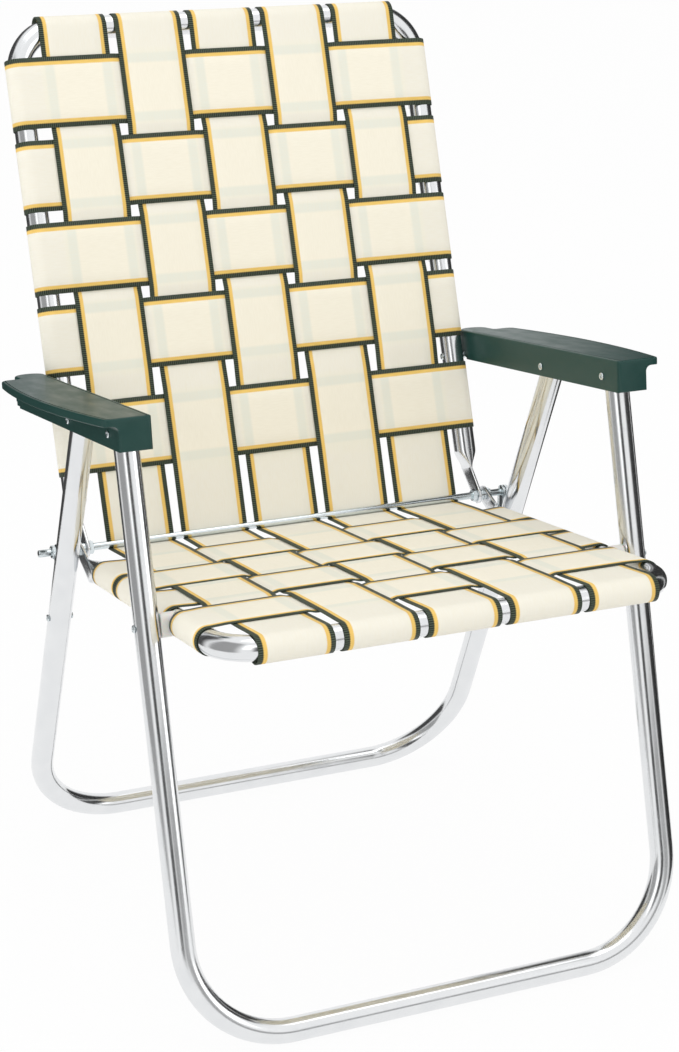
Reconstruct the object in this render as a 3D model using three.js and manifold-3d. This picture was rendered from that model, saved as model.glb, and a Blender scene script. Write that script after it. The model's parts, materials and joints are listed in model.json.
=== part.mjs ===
// A folding lawn chair: four bent tube frames, two arm rests, woven webbing, and links that let it fold flat.
// Millimetres, +Z up. The sitter faces -Y, the floor is Z = 0 and the chair's middle is X = 0.

import * as THREE from "three";
import { mergeVertices } from "three/addons/utils/BufferGeometryUtils.js";
import Module from "manifold-3d";

const wasm = await Module();
wasm.setup();

// Tubes and their bends
const TUBE_DIAMETER = 25.4;
const TUBE_WALL = 1.2;
const LEG_BEND_RADIUS = 105;
const PANEL_BEND_RADIUS = 50;

// Widths: the back frame between the centres of its side tubes, then the sideways gaps to its neighbours
const BACK_FRAME_WIDTH = 476;
const BACK_ARM_GAP = 3.1;
const SEAT_LEG_GAP = 8.6;

// Side view of the open chair: front floor bar, axle, then lengths and angles taken from the axle
const FRONT_BAR_Y = -279;
const AXLE_Y = 138.5;
const AXLE_Z = 395.5;
const BACK_TILT_DEGREES = 19.8;
const BACK_LENGTH = 571;
const SEAT_PITCH_DEGREES = 7.7;
const SEAT_DEPTH = 439;
const ARM_PITCH_DEGREES = 9.7;
const BACK_RIVET_HEIGHT = 166;
const ARM_REAR_SPAN = 191.5;
const ARM_FRONT_SPAN = 136;

// The rod's distance behind the rear leg's axis sets the leg's slope, and the link's length its lower rivet
const AXLE_LEG_OFFSET = 29.85;
const LINK_LENGTH = 76.16;

// Webbing: strap sizes, then the room that the straps keep to rivets, nuts, bends and pressed ends
const STRAP_WIDTH = 78;
const STRAP_THICKNESS = 1.2;
const STRAP_GAP = 0.3;
const WEAVE_GAP = 0.5;
const STRAP_TUCK_DEGREES = 10;
const STRAP_LEAST_SPACING = 1;
const LONG_STRAP_NUT_ROOM = 17.7;
const SEAT_RIVET_ROOM = 7.2;
const BACK_RIVET_LOWER_ROOM = 8;
const BACK_RIVET_UPPER_ROOM = 22;
const BACK_LOW_STRAP_START = 79.5;
const BACK_TOP_STRAP_INSET = 33;
const PRESSED_END_ROOM = 2.5;

// Axle, tongues and link
const ROD_DIAMETER = 8;
const ROD_END_OVERHANG = 9;
const TONGUE_THICKNESS = 4;
const TONGUE_EYE_RADIUS = 10;
const TONGUE_EYE_END_DEGREES = -45;
const TONGUE_LENGTH = 32;
const PRESSED_LENGTH = 22;
const PRESSED_INSET = 0.3;
const AXLE_NUT_RADIUS = 7.5;
const AXLE_NUT_HEIGHT = 5;
const SPACER_RADIUS = 6.5;
const SPACER_LENGTH = 3.4;
const LINK_THICKNESS = 4;
const LINK_RIVET_EYE_RADIUS = 7;
const LINK_ROD_EYE_RADIUS = 8;

// Rivets
const RIVET_DIAMETER = 5;
const RIVET_HEAD_DIAMETER = 8;
const RIVET_CROWN_DIAMETER = 5.2;
const RIVET_HEAD_HEIGHT = 1.6;
const COLLAR_DIAMETER = 9;

// Plastic spacers on the seat pivots, which fill the room between the straps
const SEAT_SPACER_HEIGHT = 25;
const SEAT_SPACER_STRAP_GAP = 0.5;

// Arm rests, whose bodies rise to the rear against the line of their rivets
const ARM_BODY_RISE_DEGREES = 1.5;
const ARM_WALL = 3.3;
const ARM_DROP = 14;
const ARM_TOP_WALL = 4;
const ARM_LIP_THICKNESS = 8;
const ARM_FRONT_REACH = 36;
const ARM_NOSE_REACH = 19;
const ARM_NOSE_RADIUS = 14;
const ARM_FRONT_OVERHANG = 15;
const ARM_MIDDLE_OVERHANG = 31;
const ARM_REAR_OVERHANG = 22.5;
const ARM_FRONT_CORNER = 6;
const ARM_REAR_CORNER = 8;
const ARM_WIDE_END = 311;
const ARM_EDGE_CHAMFER = 1.2;

// Clearances
const TOUCH_GAP = 0.3;
const HOLE_CLEARANCE = 0.4;
const ARM_SIDE_CLEARANCE = 0.7;
const SLOT_CLEARANCE = 0.6;
const SLOT_END_CLEARANCE = 1.8;
const LEG_TOP_EXTRA = 8;
const LEG_TOP_CLEARANCE = 0.5;

// Fineness of round forms
const TUBE_SIDES = 12;
const BEND_STEPS = 8;
const ROUND_SIDES = 12;
const NUT_SIDES = 6;
const CURVE_STEPS = 6;
const WRAP_STEP_DEGREES = 22.5;
const SHARPEST_MITRE = 0.5;

const radians = THREE.MathUtils.degToRad;
const degrees = THREE.MathUtils.radToDeg;
const TUBE_RADIUS = TUBE_DIAMETER / 2;
const ROD_RADIUS = ROD_DIAMETER / 2;
const RIVET_RADIUS = RIVET_DIAMETER / 2;
const HOLE_RADIUS = RIVET_RADIUS + HOLE_CLEARANCE;
const ROD_HOLE_RADIUS = ROD_RADIUS + HOLE_CLEARANCE;

// Sideways places that mating pieces share, from the back frame outwards
const BACK_X = BACK_FRAME_WIDTH / 2;
const armInner = BACK_X + TUBE_RADIUS + BACK_ARM_GAP;
const channelInner = armInner + ARM_WALL;
const legInner = channelInner + ARM_SIDE_CLEARANCE;
const LEG_X = legInner + TUBE_RADIUS;
const legOuter = LEG_X + TUBE_RADIUS;
const channelOuter = legOuter + ARM_SIDE_CLEARANCE;
const armOuter = channelOuter + ARM_WALL;
const SEAT_X = legInner - SEAT_LEG_GAP - TUBE_RADIUS;
const halfTongue = TONGUE_THICKNESS / 2;
const halfLink = LINK_THICKNESS / 2;
const seatTongueX = BACK_X + SPACER_LENGTH + 2 * (halfTongue + TOUCH_GAP);
const axleNutInner = BACK_X - halfTongue - TOUCH_GAP - AXLE_NUT_HEIGHT;

// The arm's channel clears the corner of a leg's top end at any angle
const channelTop = Math.hypot(LEG_TOP_EXTRA, TUBE_RADIUS) + LEG_TOP_CLEARANCE;
const armTop = channelTop + ARM_TOP_WALL;

// The webbing lies on the tubes and passes between tube plane and rod, which sets the rod's offset
const WRAP_RADIUS = TUBE_RADIUS + STRAP_GAP + STRAP_THICKNESS / 2;
const ROD_WRAP_RADIUS = ROD_RADIUS + STRAP_GAP + STRAP_THICKNESS / 2;
const ROD_OFFSET = WRAP_RADIUS + ROD_WRAP_RADIUS;
const WEAVE_LIFT = (STRAP_THICKNESS + WEAVE_GAP) / 2;

// Pivots in the side view, as (0, y, z)
const floorBarHeight = TUBE_RADIUS * Math.cos(Math.PI / TUBE_SIDES);
const sidePoint = (y, z) => new THREE.Vector3(0, y, z);
const axle = sidePoint(AXLE_Y, AXLE_Z);
const backUp = sidePoint(Math.sin(radians(BACK_TILT_DEGREES)), Math.cos(radians(BACK_TILT_DEGREES)));
const backRear = sidePoint(backUp.z, -backUp.y);
const seatForward = sidePoint(-Math.cos(radians(SEAT_PITCH_DEGREES)), Math.sin(radians(SEAT_PITCH_DEGREES)));
const seatDown = sidePoint(-seatForward.z, seatForward.y);
const armForward = sidePoint(-Math.cos(radians(ARM_PITCH_DEGREES)), Math.sin(radians(ARM_PITCH_DEGREES)));
const along = (start, direction, distance) => start.clone().addScaledVector(direction, distance);
const backPivot = along(along(axle, backUp, BACK_RIVET_HEIGHT), backRear, ROD_OFFSET);
const rearLegPivot = along(backPivot, armForward, ARM_REAR_SPAN);
const frontLegPivot = along(rearLegPivot, armForward, ARM_FRONT_SPAN);
const frontBar = sidePoint(FRONT_BAR_Y, floorBarHeight);

// The rear leg passes in front of the rod, and the link swings from it
const legToAxle = axle.clone().sub(rearLegPivot);
const axleLean = Math.atan2(legToAxle.y, -legToAxle.z);
const rearLegLean = axleLean - Math.asin(AXLE_LEG_OFFSET / legToAxle.length());
const rearLegDown = sidePoint(Math.sin(rearLegLean), -Math.cos(rearLegLean));
const rearLegLength = (rearLegPivot.z - floorBarHeight) / Math.cos(rearLegLean);
const linkLean = Math.asin(AXLE_LEG_OFFSET / LINK_LENGTH);
const linkRivetDrop = legToAxle.dot(rearLegDown) + LINK_LENGTH * Math.cos(linkLean);
const linkPivot = along(rearLegPivot, rearLegDown, linkRivetDrop);
const slotReach = (TUBE_RADIUS + LINK_ROD_EYE_RADIUS / Math.cos(linkLean)) / Math.tan(linkLean)
  + SLOT_END_CLEARANCE;

// Where the seat tube's axis crosses the front leg's axis, as distances along both
const seatStart = along(axle, seatDown, ROD_OFFSET);
const frontLegDown = frontBar.clone().sub(frontLegPivot).normalize();
const toSeat = seatStart.clone().sub(frontLegPivot);
const crossing = frontLegDown.y * seatForward.z - frontLegDown.z * seatForward.y;
const seatPivotDrop = (toSeat.y * seatForward.z - toSeat.z * seatForward.y) / crossing;
const seatPivotReach = along(frontLegPivot, frontLegDown, seatPivotDrop).sub(seatStart).dot(seatForward);

// Middles of as many straps as the room between two places takes, spread evenly over it
function strapMiddles(from, to) {
  const room = to - from;
  const count = Math.floor((room + STRAP_LEAST_SPACING) / (STRAP_WIDTH + STRAP_LEAST_SPACING));
  const pitch = count > 1 ? (room - STRAP_WIDTH) / (count - 1) : 0;
  const first = (from + to - pitch * (count - 1)) / 2;
  return Array.from({ length: count }, (_, index) => first + index * pitch);
}

// Long straps by their x, and cross straps by their distance from the rod, the one at the far bar first
const longStrapEdge = axleNutInner - LONG_STRAP_NUT_ROOM;
const longStrapX = strapMiddles(-longStrapEdge, longStrapEdge);
const backCrossPlaces = [
  ...strapMiddles(BACK_LOW_STRAP_START, BACK_RIVET_HEIGHT - BACK_RIVET_LOWER_ROOM),
  ...strapMiddles(BACK_RIVET_HEIGHT + BACK_RIVET_UPPER_ROOM, BACK_LENGTH - BACK_TOP_STRAP_INSET),
].reverse();
const seatCrossPlaces = [
  ...strapMiddles(TONGUE_LENGTH + PRESSED_LENGTH + PRESSED_END_ROOM, seatPivotReach - SEAT_RIVET_ROOM),
  ...strapMiddles(seatPivotReach + SEAT_RIVET_ROOM, SEAT_DEPTH - PANEL_BEND_RADIUS),
].reverse();

const aluminium = new THREE.MeshStandardMaterial({ color: 0xd5d6d4, roughness: 0.22, metalness: 1 });
const zinc = new THREE.MeshStandardMaterial({ color: 0xb4b3ac, roughness: 0.38, metalness: 1 });
const greenPlastic = new THREE.MeshStandardMaterial({ color: 0x1f423e, roughness: 0.35, metalness: 0 });
const whitePlastic = new THREE.MeshStandardMaterial({ color: 0xe6e6e2, roughness: 0.4, metalness: 0 });
const webbing = new THREE.MeshStandardMaterial({ color: 0xe9e3cf, roughness: 0.6, metalness: 0 });

// A closed surface as a solid that can be joined and cut
function solidOf(geometry) {
  const bare = geometry.clone();
  bare.deleteAttribute("normal");
  bare.deleteAttribute("uv");
  const merged = mergeVertices(bare);
  const vertProperties = new Float32Array(merged.attributes.position.array);
  const triVerts = new Uint32Array(merged.index.array);
  return new wasm.Manifold(new wasm.Mesh({ numProp: 3, vertProperties, triVerts }));
}

function geometryOf(solid) {
  const mesh = solid.getMesh();
  const geometry = new THREE.BufferGeometry();
  geometry.setAttribute("position", new THREE.BufferAttribute(mesh.vertProperties, mesh.numProp));
  geometry.setIndex(new THREE.BufferAttribute(mesh.triVerts, 1));
  return geometry;
}

function join(...geometries) {
  return geometryOf(geometries.map(solidOf).reduce((whole, piece) => whole.add(piece)));
}

function cut(geometry, ...tools) {
  return geometryOf(tools.map(solidOf).reduce((rest, tool) => rest.subtract(tool), solidOf(geometry)));
}

function addMesh(parent, name, geometry, material) {
  const mesh = new THREE.Mesh(geometry, material);
  mesh.name = name;
  parent.add(mesh);
}

// A cylinder along X between two X values, at a place in the YZ plane
function barAlongX(radius, fromX, toX, y, z) {
  const bar = new THREE.CylinderGeometry(radius, radius, Math.abs(toX - fromX), ROUND_SIDES);
  return bar.rotateZ(Math.PI / 2).translate((fromX + toX) / 2, y, z);
}

// A flat shape drawn in (y, z), given a thickness along X and centred there on x
function plateAcrossX(shape, thickness, x) {
  const plate = new THREE.ExtrudeGeometry(shape, {
    depth: thickness, bevelEnabled: false, curveSegments: CURVE_STEPS,
  });
  plate.applyMatrix4(new THREE.Matrix4().makeBasis(
    new THREE.Vector3(0, 1, 0), new THREE.Vector3(0, 0, 1), new THREE.Vector3(1, 0, 0)));
  return plate.translate(x - thickness / 2, 0, 0);
}

// Corners of a regular polygon, the first one at the given angle
function polygon(radius, sides, startAngle = 0, centreX = 0, centreY = 0) {
  return Array.from({ length: sides }, (_, index) => {
    const angle = startAngle + (index * 2 * Math.PI) / sides;
    return new THREE.Vector2(centreX + radius * Math.cos(angle), centreY + radius * Math.sin(angle));
  });
}

function roundHole(radius, centreX = 0, centreY = 0) {
  return new THREE.Path(polygon(radius, ROUND_SIDES, 0, centreX, centreY));
}

function ringShape(outerRadius, innerRadius, sides) {
  const shape = new THREE.Shape(polygon(outerRadius, sides));
  shape.holes.push(roundHole(innerRadius));
  return shape;
}

// A rivet or pin along X: [radius, x] steps from the inner end to the outer end, for the right side
function turnedPin(profile, side, y, z) {
  const points = profile.map(([radius, x]) => new THREE.Vector2(radius, x));
  const pin = new THREE.LatheGeometry(points, ROUND_SIDES).rotateZ(-Math.PI / 2);
  if (side < 0) {
    pin.rotateZ(Math.PI);
  }
  return pin.translate(0, y, z);
}

const HEAD_RADIUS = RIVET_HEAD_DIAMETER / 2;
const CROWN_RADIUS = RIVET_CROWN_DIAMETER / 2;

// Head profiles: the inner head ends at seat x, the outer head starts there
const innerHead = (x) => [
  [0, x - TOUCH_GAP - RIVET_HEAD_HEIGHT], [CROWN_RADIUS, x - TOUCH_GAP - RIVET_HEAD_HEIGHT],
  [HEAD_RADIUS, x - TOUCH_GAP - RIVET_HEAD_HEIGHT / 2], [HEAD_RADIUS, x - TOUCH_GAP],
  [RIVET_RADIUS, x - TOUCH_GAP],
];
const outerHead = (x) => [
  [RIVET_RADIUS, x + TOUCH_GAP], [HEAD_RADIUS, x + TOUCH_GAP],
  [HEAD_RADIUS, x + TOUCH_GAP + RIVET_HEAD_HEIGHT / 2],
  [CROWN_RADIUS, x + TOUCH_GAP + RIVET_HEAD_HEIGHT], [0, x + TOUCH_GAP + RIVET_HEAD_HEIGHT],
];

const SIDES = [["left", -1], ["right", 1]];

// A path through fixed stations, so that straights take one step and bends take a few
class StationPath extends THREE.Curve {
  constructor(points, tangents) {
    super();
    this.points = points;
    this.tangents = tangents;
  }

  station(u) {
    return Math.round(u * (this.points.length - 1));
  }

  getPoint(t) {
    return this.points[this.station(t)].clone();
  }

  getPointAt(u) {
    return this.getPoint(u);
  }

  getTangentAt(u) {
    return this.tangents[this.station(u)].clone();
  }
}

// A U in a plane of constant y: side tubes at x = -halfWidth and +halfWidth from endZ to a bar at barZ
function bentU(halfWidth, y, endZ, barZ, bendRadius) {
  const way = Math.sign(barZ - endZ);
  const points = [new THREE.Vector3(-halfWidth, y, endZ)];
  const tangents = [new THREE.Vector3(0, 0, way)];
  for (const side of [-1, 1]) {
    for (let step = 0; step <= BEND_STEPS; step += 1) {
      const turn = (Math.PI / 2) * (side < 0 ? step / BEND_STEPS : 1 - step / BEND_STEPS);
      const x = side * (halfWidth - bendRadius + bendRadius * Math.cos(turn));
      const z = barZ - way * bendRadius * (1 - Math.sin(turn));
      points.push(new THREE.Vector3(x, y, z));
      tangents.push(new THREE.Vector3(Math.sin(turn), 0, -side * way * Math.cos(turn)));
    }
  }
  points.push(new THREE.Vector3(halfWidth, y, endZ));
  tangents.push(new THREE.Vector3(0, 0, -way));
  return new StationPath(points, tangents);
}

// A hollow tube along the path, with a flat of its many-sided section facing the given way at mid path
function hollowTube(path, facing) {
  const steps = path.points.length - 1;
  const middle = Math.floor(steps / 2);
  const frames = path.computeFrenetFrames(steps, false);
  const phase = Math.atan2(facing.dot(frames.binormals[middle]), facing.dot(frames.normals[middle]));
  const start = phase + Math.PI / TUBE_SIDES;
  const section = new THREE.Shape(polygon(TUBE_RADIUS, TUBE_SIDES, start));
  section.holes.push(new THREE.Path(polygon(TUBE_RADIUS - TUBE_WALL, TUBE_SIDES, start)));
  return new THREE.ExtrudeGeometry(section, { steps, extrudePath: path });
}

// Group whose +Z runs up a leg, with the leg's arm pivot at its origin
function legGroup(pivot, downward) {
  const group = new THREE.Group();
  group.position.copy(pivot);
  group.rotation.x = Math.atan2(downward.y, -downward.z);
  return group;
}

// Holes straight through both side tubes at a height in the group's frame
function sideHoles(halfWidth, y, z) {
  const reach = TUBE_DIAMETER;
  return SIDES.map(([, side]) =>
    barAlongX(HOLE_RADIUS, side * halfWidth - reach, side * halfWidth + reach, y, z));
}

function legFrame(group, barDistance) {
  const down = new THREE.Vector3(0, 0, -1).applyQuaternion(group.quaternion.clone().invert());
  return hollowTube(bentU(LEG_X, 0, LEG_TOP_EXTRA, -barDistance, LEG_BEND_RADIUS), down);
}

function frontLegs() {
  const group = legGroup(frontLegPivot, frontLegDown);
  const tube = legFrame(group, frontBar.distanceTo(frontLegPivot));
  const holes = [...sideHoles(LEG_X, 0, 0), ...sideHoles(LEG_X, 0, -seatPivotDrop)];
  addMesh(group, "front_leg_frame", cut(tube, ...holes), aluminium);
  for (const [name, side] of SIDES) {
    const start = legInner + TOUCH_GAP;
    const profile = [[0, start], [RIVET_RADIUS, start], ...outerHead(legOuter)];
    addMesh(group, `${name}_seat_rivet`, turnedPin(profile, side, 0, -seatPivotDrop), zinc);
  }
  return group;
}

function rearLegs() {
  const group = legGroup(rearLegPivot, rearLegDown);
  const tube = legFrame(group, rearLegLength);
  const slots = SIDES.map(([, side]) =>
    new THREE.BoxGeometry(LINK_THICKNESS + 2 * SLOT_CLEARANCE, TUBE_DIAMETER, 2 * slotReach)
      .translate(side * LEG_X, TUBE_RADIUS, -linkRivetDrop));
  const holes = [...sideHoles(LEG_X, 0, 0), ...sideHoles(LEG_X, 0, -linkRivetDrop)];
  addMesh(group, "rear_leg_frame", cut(tube, ...holes, ...slots), aluminium);
  for (const [name, side] of SIDES) {
    const profile = [...innerHead(legInner), ...outerHead(legOuter)];
    addMesh(group, `${name}_link_rivet`, turnedPin(profile, side, 0, -linkRivetDrop), zinc);
  }
  return group;
}

// Links: flat bars from the rear leg's lower rivet to the rod, with the rod's end and its nut
function links() {
  const group = new THREE.Group();
  const toAxle = axle.clone().sub(linkPivot);
  group.position.copy(linkPivot);
  group.rotation.x = Math.atan2(-toAxle.y, toAxle.z);
  const taper = Math.asin((LINK_ROD_EYE_RADIUS - LINK_RIVET_EYE_RADIUS) / LINK_LENGTH);
  const shape = new THREE.Shape();
  shape.absarc(0, 0, LINK_RIVET_EYE_RADIUS, Math.PI - taper, 2 * Math.PI + taper);
  shape.absarc(0, LINK_LENGTH, LINK_ROD_EYE_RADIUS, taper, Math.PI - taper);
  shape.holes.push(roundHole(HOLE_RADIUS), roundHole(ROD_HOLE_RADIUS, 0, LINK_LENGTH));
  for (const [name, side] of SIDES) {
    addMesh(group, `${name}_link`, plateAcrossX(shape, LINK_THICKNESS, side * LEG_X), zinc);
    const endInner = LEG_X - halfLink;
    const endOuter = legOuter + ROD_END_OVERHANG;
    const end = barAlongX(ROD_RADIUS, side * endInner, side * endOuter, 0, LINK_LENGTH);
    addMesh(group, `${name}_axle_end`, end, zinc);
    const nutX = LEG_X + halfLink + TOUCH_GAP + AXLE_NUT_HEIGHT / 2;
    addMesh(group, `${name}_axle_end_nut`, axleNut(side * nutX).translate(0, 0, LINK_LENGTH), zinc);
  }
  return group;
}

function axleNut(x) {
  return plateAcrossX(ringShape(AXLE_NUT_RADIUS, ROD_HOLE_RADIUS, NUT_SIDES), AXLE_NUT_HEIGHT, x);
}

// A tongue: the pressed tube end as a plate from the tube's axis, ROD_OFFSET behind, to the rod's eye
function tongueShape() {
  const shape = new THREE.Shape();
  const eyeStart = Math.PI - Math.atan2(ROD_OFFSET - TUBE_RADIUS + TONGUE_EYE_RADIUS, TONGUE_LENGTH);
  shape.absarc(0, 0, TONGUE_EYE_RADIUS, eyeStart, 2 * Math.PI + radians(TONGUE_EYE_END_DEGREES));
  shape.lineTo(ROD_OFFSET + TUBE_RADIUS, TONGUE_LENGTH);
  shape.lineTo(ROD_OFFSET - TUBE_RADIUS, TONGUE_LENGTH);
  shape.holes.push(roundHole(ROD_HOLE_RADIUS));
  return shape;
}

// The length over which a round tube is pressed flat, its flat end moved sideways to the tongue
function pressedEnd(fromX, toX) {
  const radius = TUBE_RADIUS - PRESSED_INSET;
  const piece = new THREE.CylinderGeometry(radius, radius, PRESSED_LENGTH, TUBE_SIDES).rotateX(Math.PI / 2);
  const position = piece.attributes.position;
  for (let index = 0; index < position.count; index += 1) {
    const isFlatEnd = position.getZ(index) < 0;
    const x = position.getX(index);
    position.setX(index, isFlatEnd ? toX + (x * halfTongue) / radius : fromX + x);
  }
  return piece.translate(0, ROD_OFFSET, TONGUE_LENGTH + PRESSED_LENGTH / 2 - TOUCH_GAP);
}

// A panel frame, seat or back: the rod is the origin, the tubes lie ROD_OFFSET behind it and run along +Z
function panelFrame(halfWidth, length, tongueX, pivotZ) {
  const tubeEnd = TONGUE_LENGTH + PRESSED_LENGTH / 2;
  const path = bentU(halfWidth, ROD_OFFSET, tubeEnd, length, PANEL_BEND_RADIUS);
  const pieces = [hollowTube(path, new THREE.Vector3(0, -1, 0))];
  for (const [, side] of SIDES) {
    pieces.push(pressedEnd(side * halfWidth, side * tongueX));
    pieces.push(plateAcrossX(tongueShape(), TONGUE_THICKNESS, side * tongueX));
  }
  return cut(join(...pieces), ...sideHoles(halfWidth, ROD_OFFSET, pivotZ));
}

// A strap's side profile: a centre line given the strap's thickness
function ribbonShape(line) {
  const offsetSide = (sign) => line.map((point, index) => {
    const before = line[Math.max(index - 1, 0)];
    const after = line[Math.min(index + 1, line.length - 1)];
    const incoming = point.clone().sub(before).normalize();
    const outgoing = after.clone().sub(point).normalize();
    const bisector = incoming.add(outgoing).normalize();
    const edge = after.clone().sub(index === line.length - 1 ? before : point).normalize();
    const stretch = 1 / Math.max(bisector.dot(edge), SHARPEST_MITRE);
    const shift = (sign * STRAP_THICKNESS * stretch) / 2;
    return new THREE.Vector2(point.x - bisector.y * shift, point.y + bisector.x * shift);
  });
  return new THREE.Shape([...offsetSide(1), ...offsetSide(-1).reverse()]);
}

// Points on an arc that the chords between them stay outside of
function arcAround(centre, radius, fromDegrees, toDegrees) {
  const steps = Math.max(2, Math.ceil(Math.abs(toDegrees - fromDegrees) / WRAP_STEP_DEGREES));
  const outside = radius / Math.cos(radians((toDegrees - fromDegrees) / steps / 2));
  return Array.from({ length: steps + 1 }, (_, index) => {
    const angle = radians(fromDegrees + ((toDegrees - fromDegrees) * index) / steps);
    return new THREE.Vector2(centre.x + outside * Math.cos(angle), centre.y + outside * Math.sin(angle));
  });
}

const webPlane = ROD_OFFSET - WRAP_RADIUS;
const passesOver = (crossIndex, longIndex) => (crossIndex + longIndex) % 2 === 0;

// A strap across the panel, wrapped round both side tubes, over and under the long straps
function crossStrap(halfWidth, crossIndex) {
  const leftTube = new THREE.Vector2(-halfWidth, ROD_OFFSET);
  const rightTube = new THREE.Vector2(halfWidth, ROD_OFFSET);
  const line = arcAround(leftTube, WRAP_RADIUS, 90 - STRAP_TUCK_DEGREES, 270);
  longStrapX.forEach((x, longIndex) => {
    const y = webPlane + (passesOver(crossIndex, longIndex) ? -WEAVE_LIFT : WEAVE_LIFT);
    line.push(new THREE.Vector2(x - STRAP_WIDTH / 2, y), new THREE.Vector2(x + STRAP_WIDTH / 2, y));
  });
  line.push(...arcAround(rightTube, WRAP_RADIUS, -90, 90 + STRAP_TUCK_DEGREES));
  return new THREE.ExtrudeGeometry(ribbonShape(line), { depth: STRAP_WIDTH, bevelEnabled: false });
}

// The angle that a long strap turns through round the rod, shared by its seat half and its back half
const rodWrapDegrees = 180 - degrees(backUp.angleTo(seatForward));
const splitDegrees = degrees(STRAP_GAP / ROD_WRAP_RADIUS);

// Half of a long strap, from under the rod, up the panel and over its far bar
function longStrap(length, crossPlaces, longIndex) {
  const line = arcAround(new THREE.Vector2(0, 0), ROD_WRAP_RADIUS, splitDegrees - rodWrapDegrees / 2, 0);
  crossPlaces.map((z, crossIndex) => [z, crossIndex]).reverse().forEach(([z, crossIndex]) => {
    const y = webPlane + (passesOver(crossIndex, longIndex) ? WEAVE_LIFT : -WEAVE_LIFT);
    line.push(new THREE.Vector2(y, z - STRAP_WIDTH / 2), new THREE.Vector2(y, z + STRAP_WIDTH / 2));
  });
  line.push(...arcAround(new THREE.Vector2(ROD_OFFSET, length), WRAP_RADIUS, 180, -STRAP_TUCK_DEGREES));
  return plateAcrossX(ribbonShape(line), STRAP_WIDTH, longStrapX[longIndex]);
}

function addWebbing(group, panelName, halfWidth, length, crossPlaces) {
  crossPlaces.forEach((z, crossIndex) => {
    const strap = crossStrap(halfWidth, crossIndex).translate(0, 0, z - STRAP_WIDTH / 2);
    addMesh(group, `${panelName}_cross_strap_${crossIndex + 1}`, strap, webbing);
  });
  longStrapX.forEach((_, longIndex) => {
    const strap = longStrap(length, crossPlaces, longIndex);
    addMesh(group, `${panelName}_long_strap_${longIndex + 1}`, strap, webbing);
  });
}

// Group of a panel: +Z runs from the rod along the panel, +Y points away from the sitter
function panelGroup(alongPanel, awayFromSitter) {
  const group = new THREE.Group();
  const across = awayFromSitter.clone().cross(alongPanel);
  group.quaternion.setFromRotationMatrix(new THREE.Matrix4().makeBasis(across, awayFromSitter, alongPanel));
  group.position.copy(axle);
  return group;
}

function back() {
  const group = panelGroup(backUp, backRear);
  addMesh(group, "back_frame", panelFrame(BACK_X, BACK_LENGTH, BACK_X, BACK_RIVET_HEIGHT), aluminium);
  const rodEnd = LEG_X - halfLink - TOUCH_GAP;
  addMesh(group, "axle_rod", barAlongX(ROD_RADIUS, -rodEnd, rodEnd, 0, 0), zinc);
  const spacer = ringShape(SPACER_RADIUS, ROD_HOLE_RADIUS, ROUND_SIDES);
  for (const [name, side] of SIDES) {
    const nutX = axleNutInner + AXLE_NUT_HEIGHT / 2;
    addMesh(group, `${name}_axle_nut`, axleNut(side * nutX), zinc);
    const spacerX = (side * (BACK_X + seatTongueX)) / 2;
    addMesh(group, `${name}_axle_spacer`, plateAcrossX(spacer, SPACER_LENGTH, spacerX), zinc);
    const outerNutX = seatTongueX + halfTongue + TOUCH_GAP + AXLE_NUT_HEIGHT / 2;
    addMesh(group, `${name}_axle_outer_nut`, axleNut(side * outerNutX), zinc);
  }
  addWebbing(group, "back", BACK_X, BACK_LENGTH, backCrossPlaces);
  return group;
}

// A spacer whose saddle sits on the seat tube and whose flat face lies against the leg
function seatSpacer(side) {
  const endRadius = SEAT_RIVET_ROOM - SEAT_SPACER_STRAP_GAP;
  const endOffset = SEAT_SPACER_HEIGHT / 2 - endRadius;
  const outline = new THREE.Shape();
  outline.absarc(ROD_OFFSET + endOffset, seatPivotReach, endRadius, -Math.PI / 2, Math.PI / 2);
  outline.absarc(ROD_OFFSET - endOffset, seatPivotReach, endRadius, Math.PI / 2, 1.5 * Math.PI);
  const outerX = legInner - TOUCH_GAP;
  const block = plateAcrossX(outline, outerX - SEAT_X, (side * (SEAT_X + outerX)) / 2);
  const saddleRadius = TUBE_RADIUS + TOUCH_GAP;
  const saddle = new THREE.CylinderGeometry(
    saddleRadius, saddleRadius, 4 * endRadius, TUBE_SIDES, 1, false, Math.PI / TUBE_SIDES,
  ).rotateX(Math.PI / 2).translate(side * SEAT_X, ROD_OFFSET, seatPivotReach);
  const hole = barAlongX(HOLE_RADIUS, side * SEAT_X, side * LEG_X, ROD_OFFSET, seatPivotReach);
  return cut(block, saddle, hole);
}

function seat() {
  const group = panelGroup(seatForward, seatDown);
  addMesh(group, "seat_frame", panelFrame(SEAT_X, SEAT_DEPTH, seatTongueX, seatPivotReach), aluminium);
  const pinEnd = legInner - TOUCH_GAP;
  const profile = [...innerHead(SEAT_X - TUBE_RADIUS), [RIVET_RADIUS, pinEnd], [0, pinEnd]];
  // The seat's own X runs the other way from the chair's
  for (const [name, side] of SIDES) {
    addMesh(group, `${name}_seat_pin`, turnedPin(profile, -side, ROD_OFFSET, seatPivotReach), zinc);
    addMesh(group, `${name}_seat_spacer`, seatSpacer(-side), whitePlastic);
  }
  addWebbing(group, "seat", SEAT_X, SEAT_DEPTH, seatCrossPlaces);
  return group;
}

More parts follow.
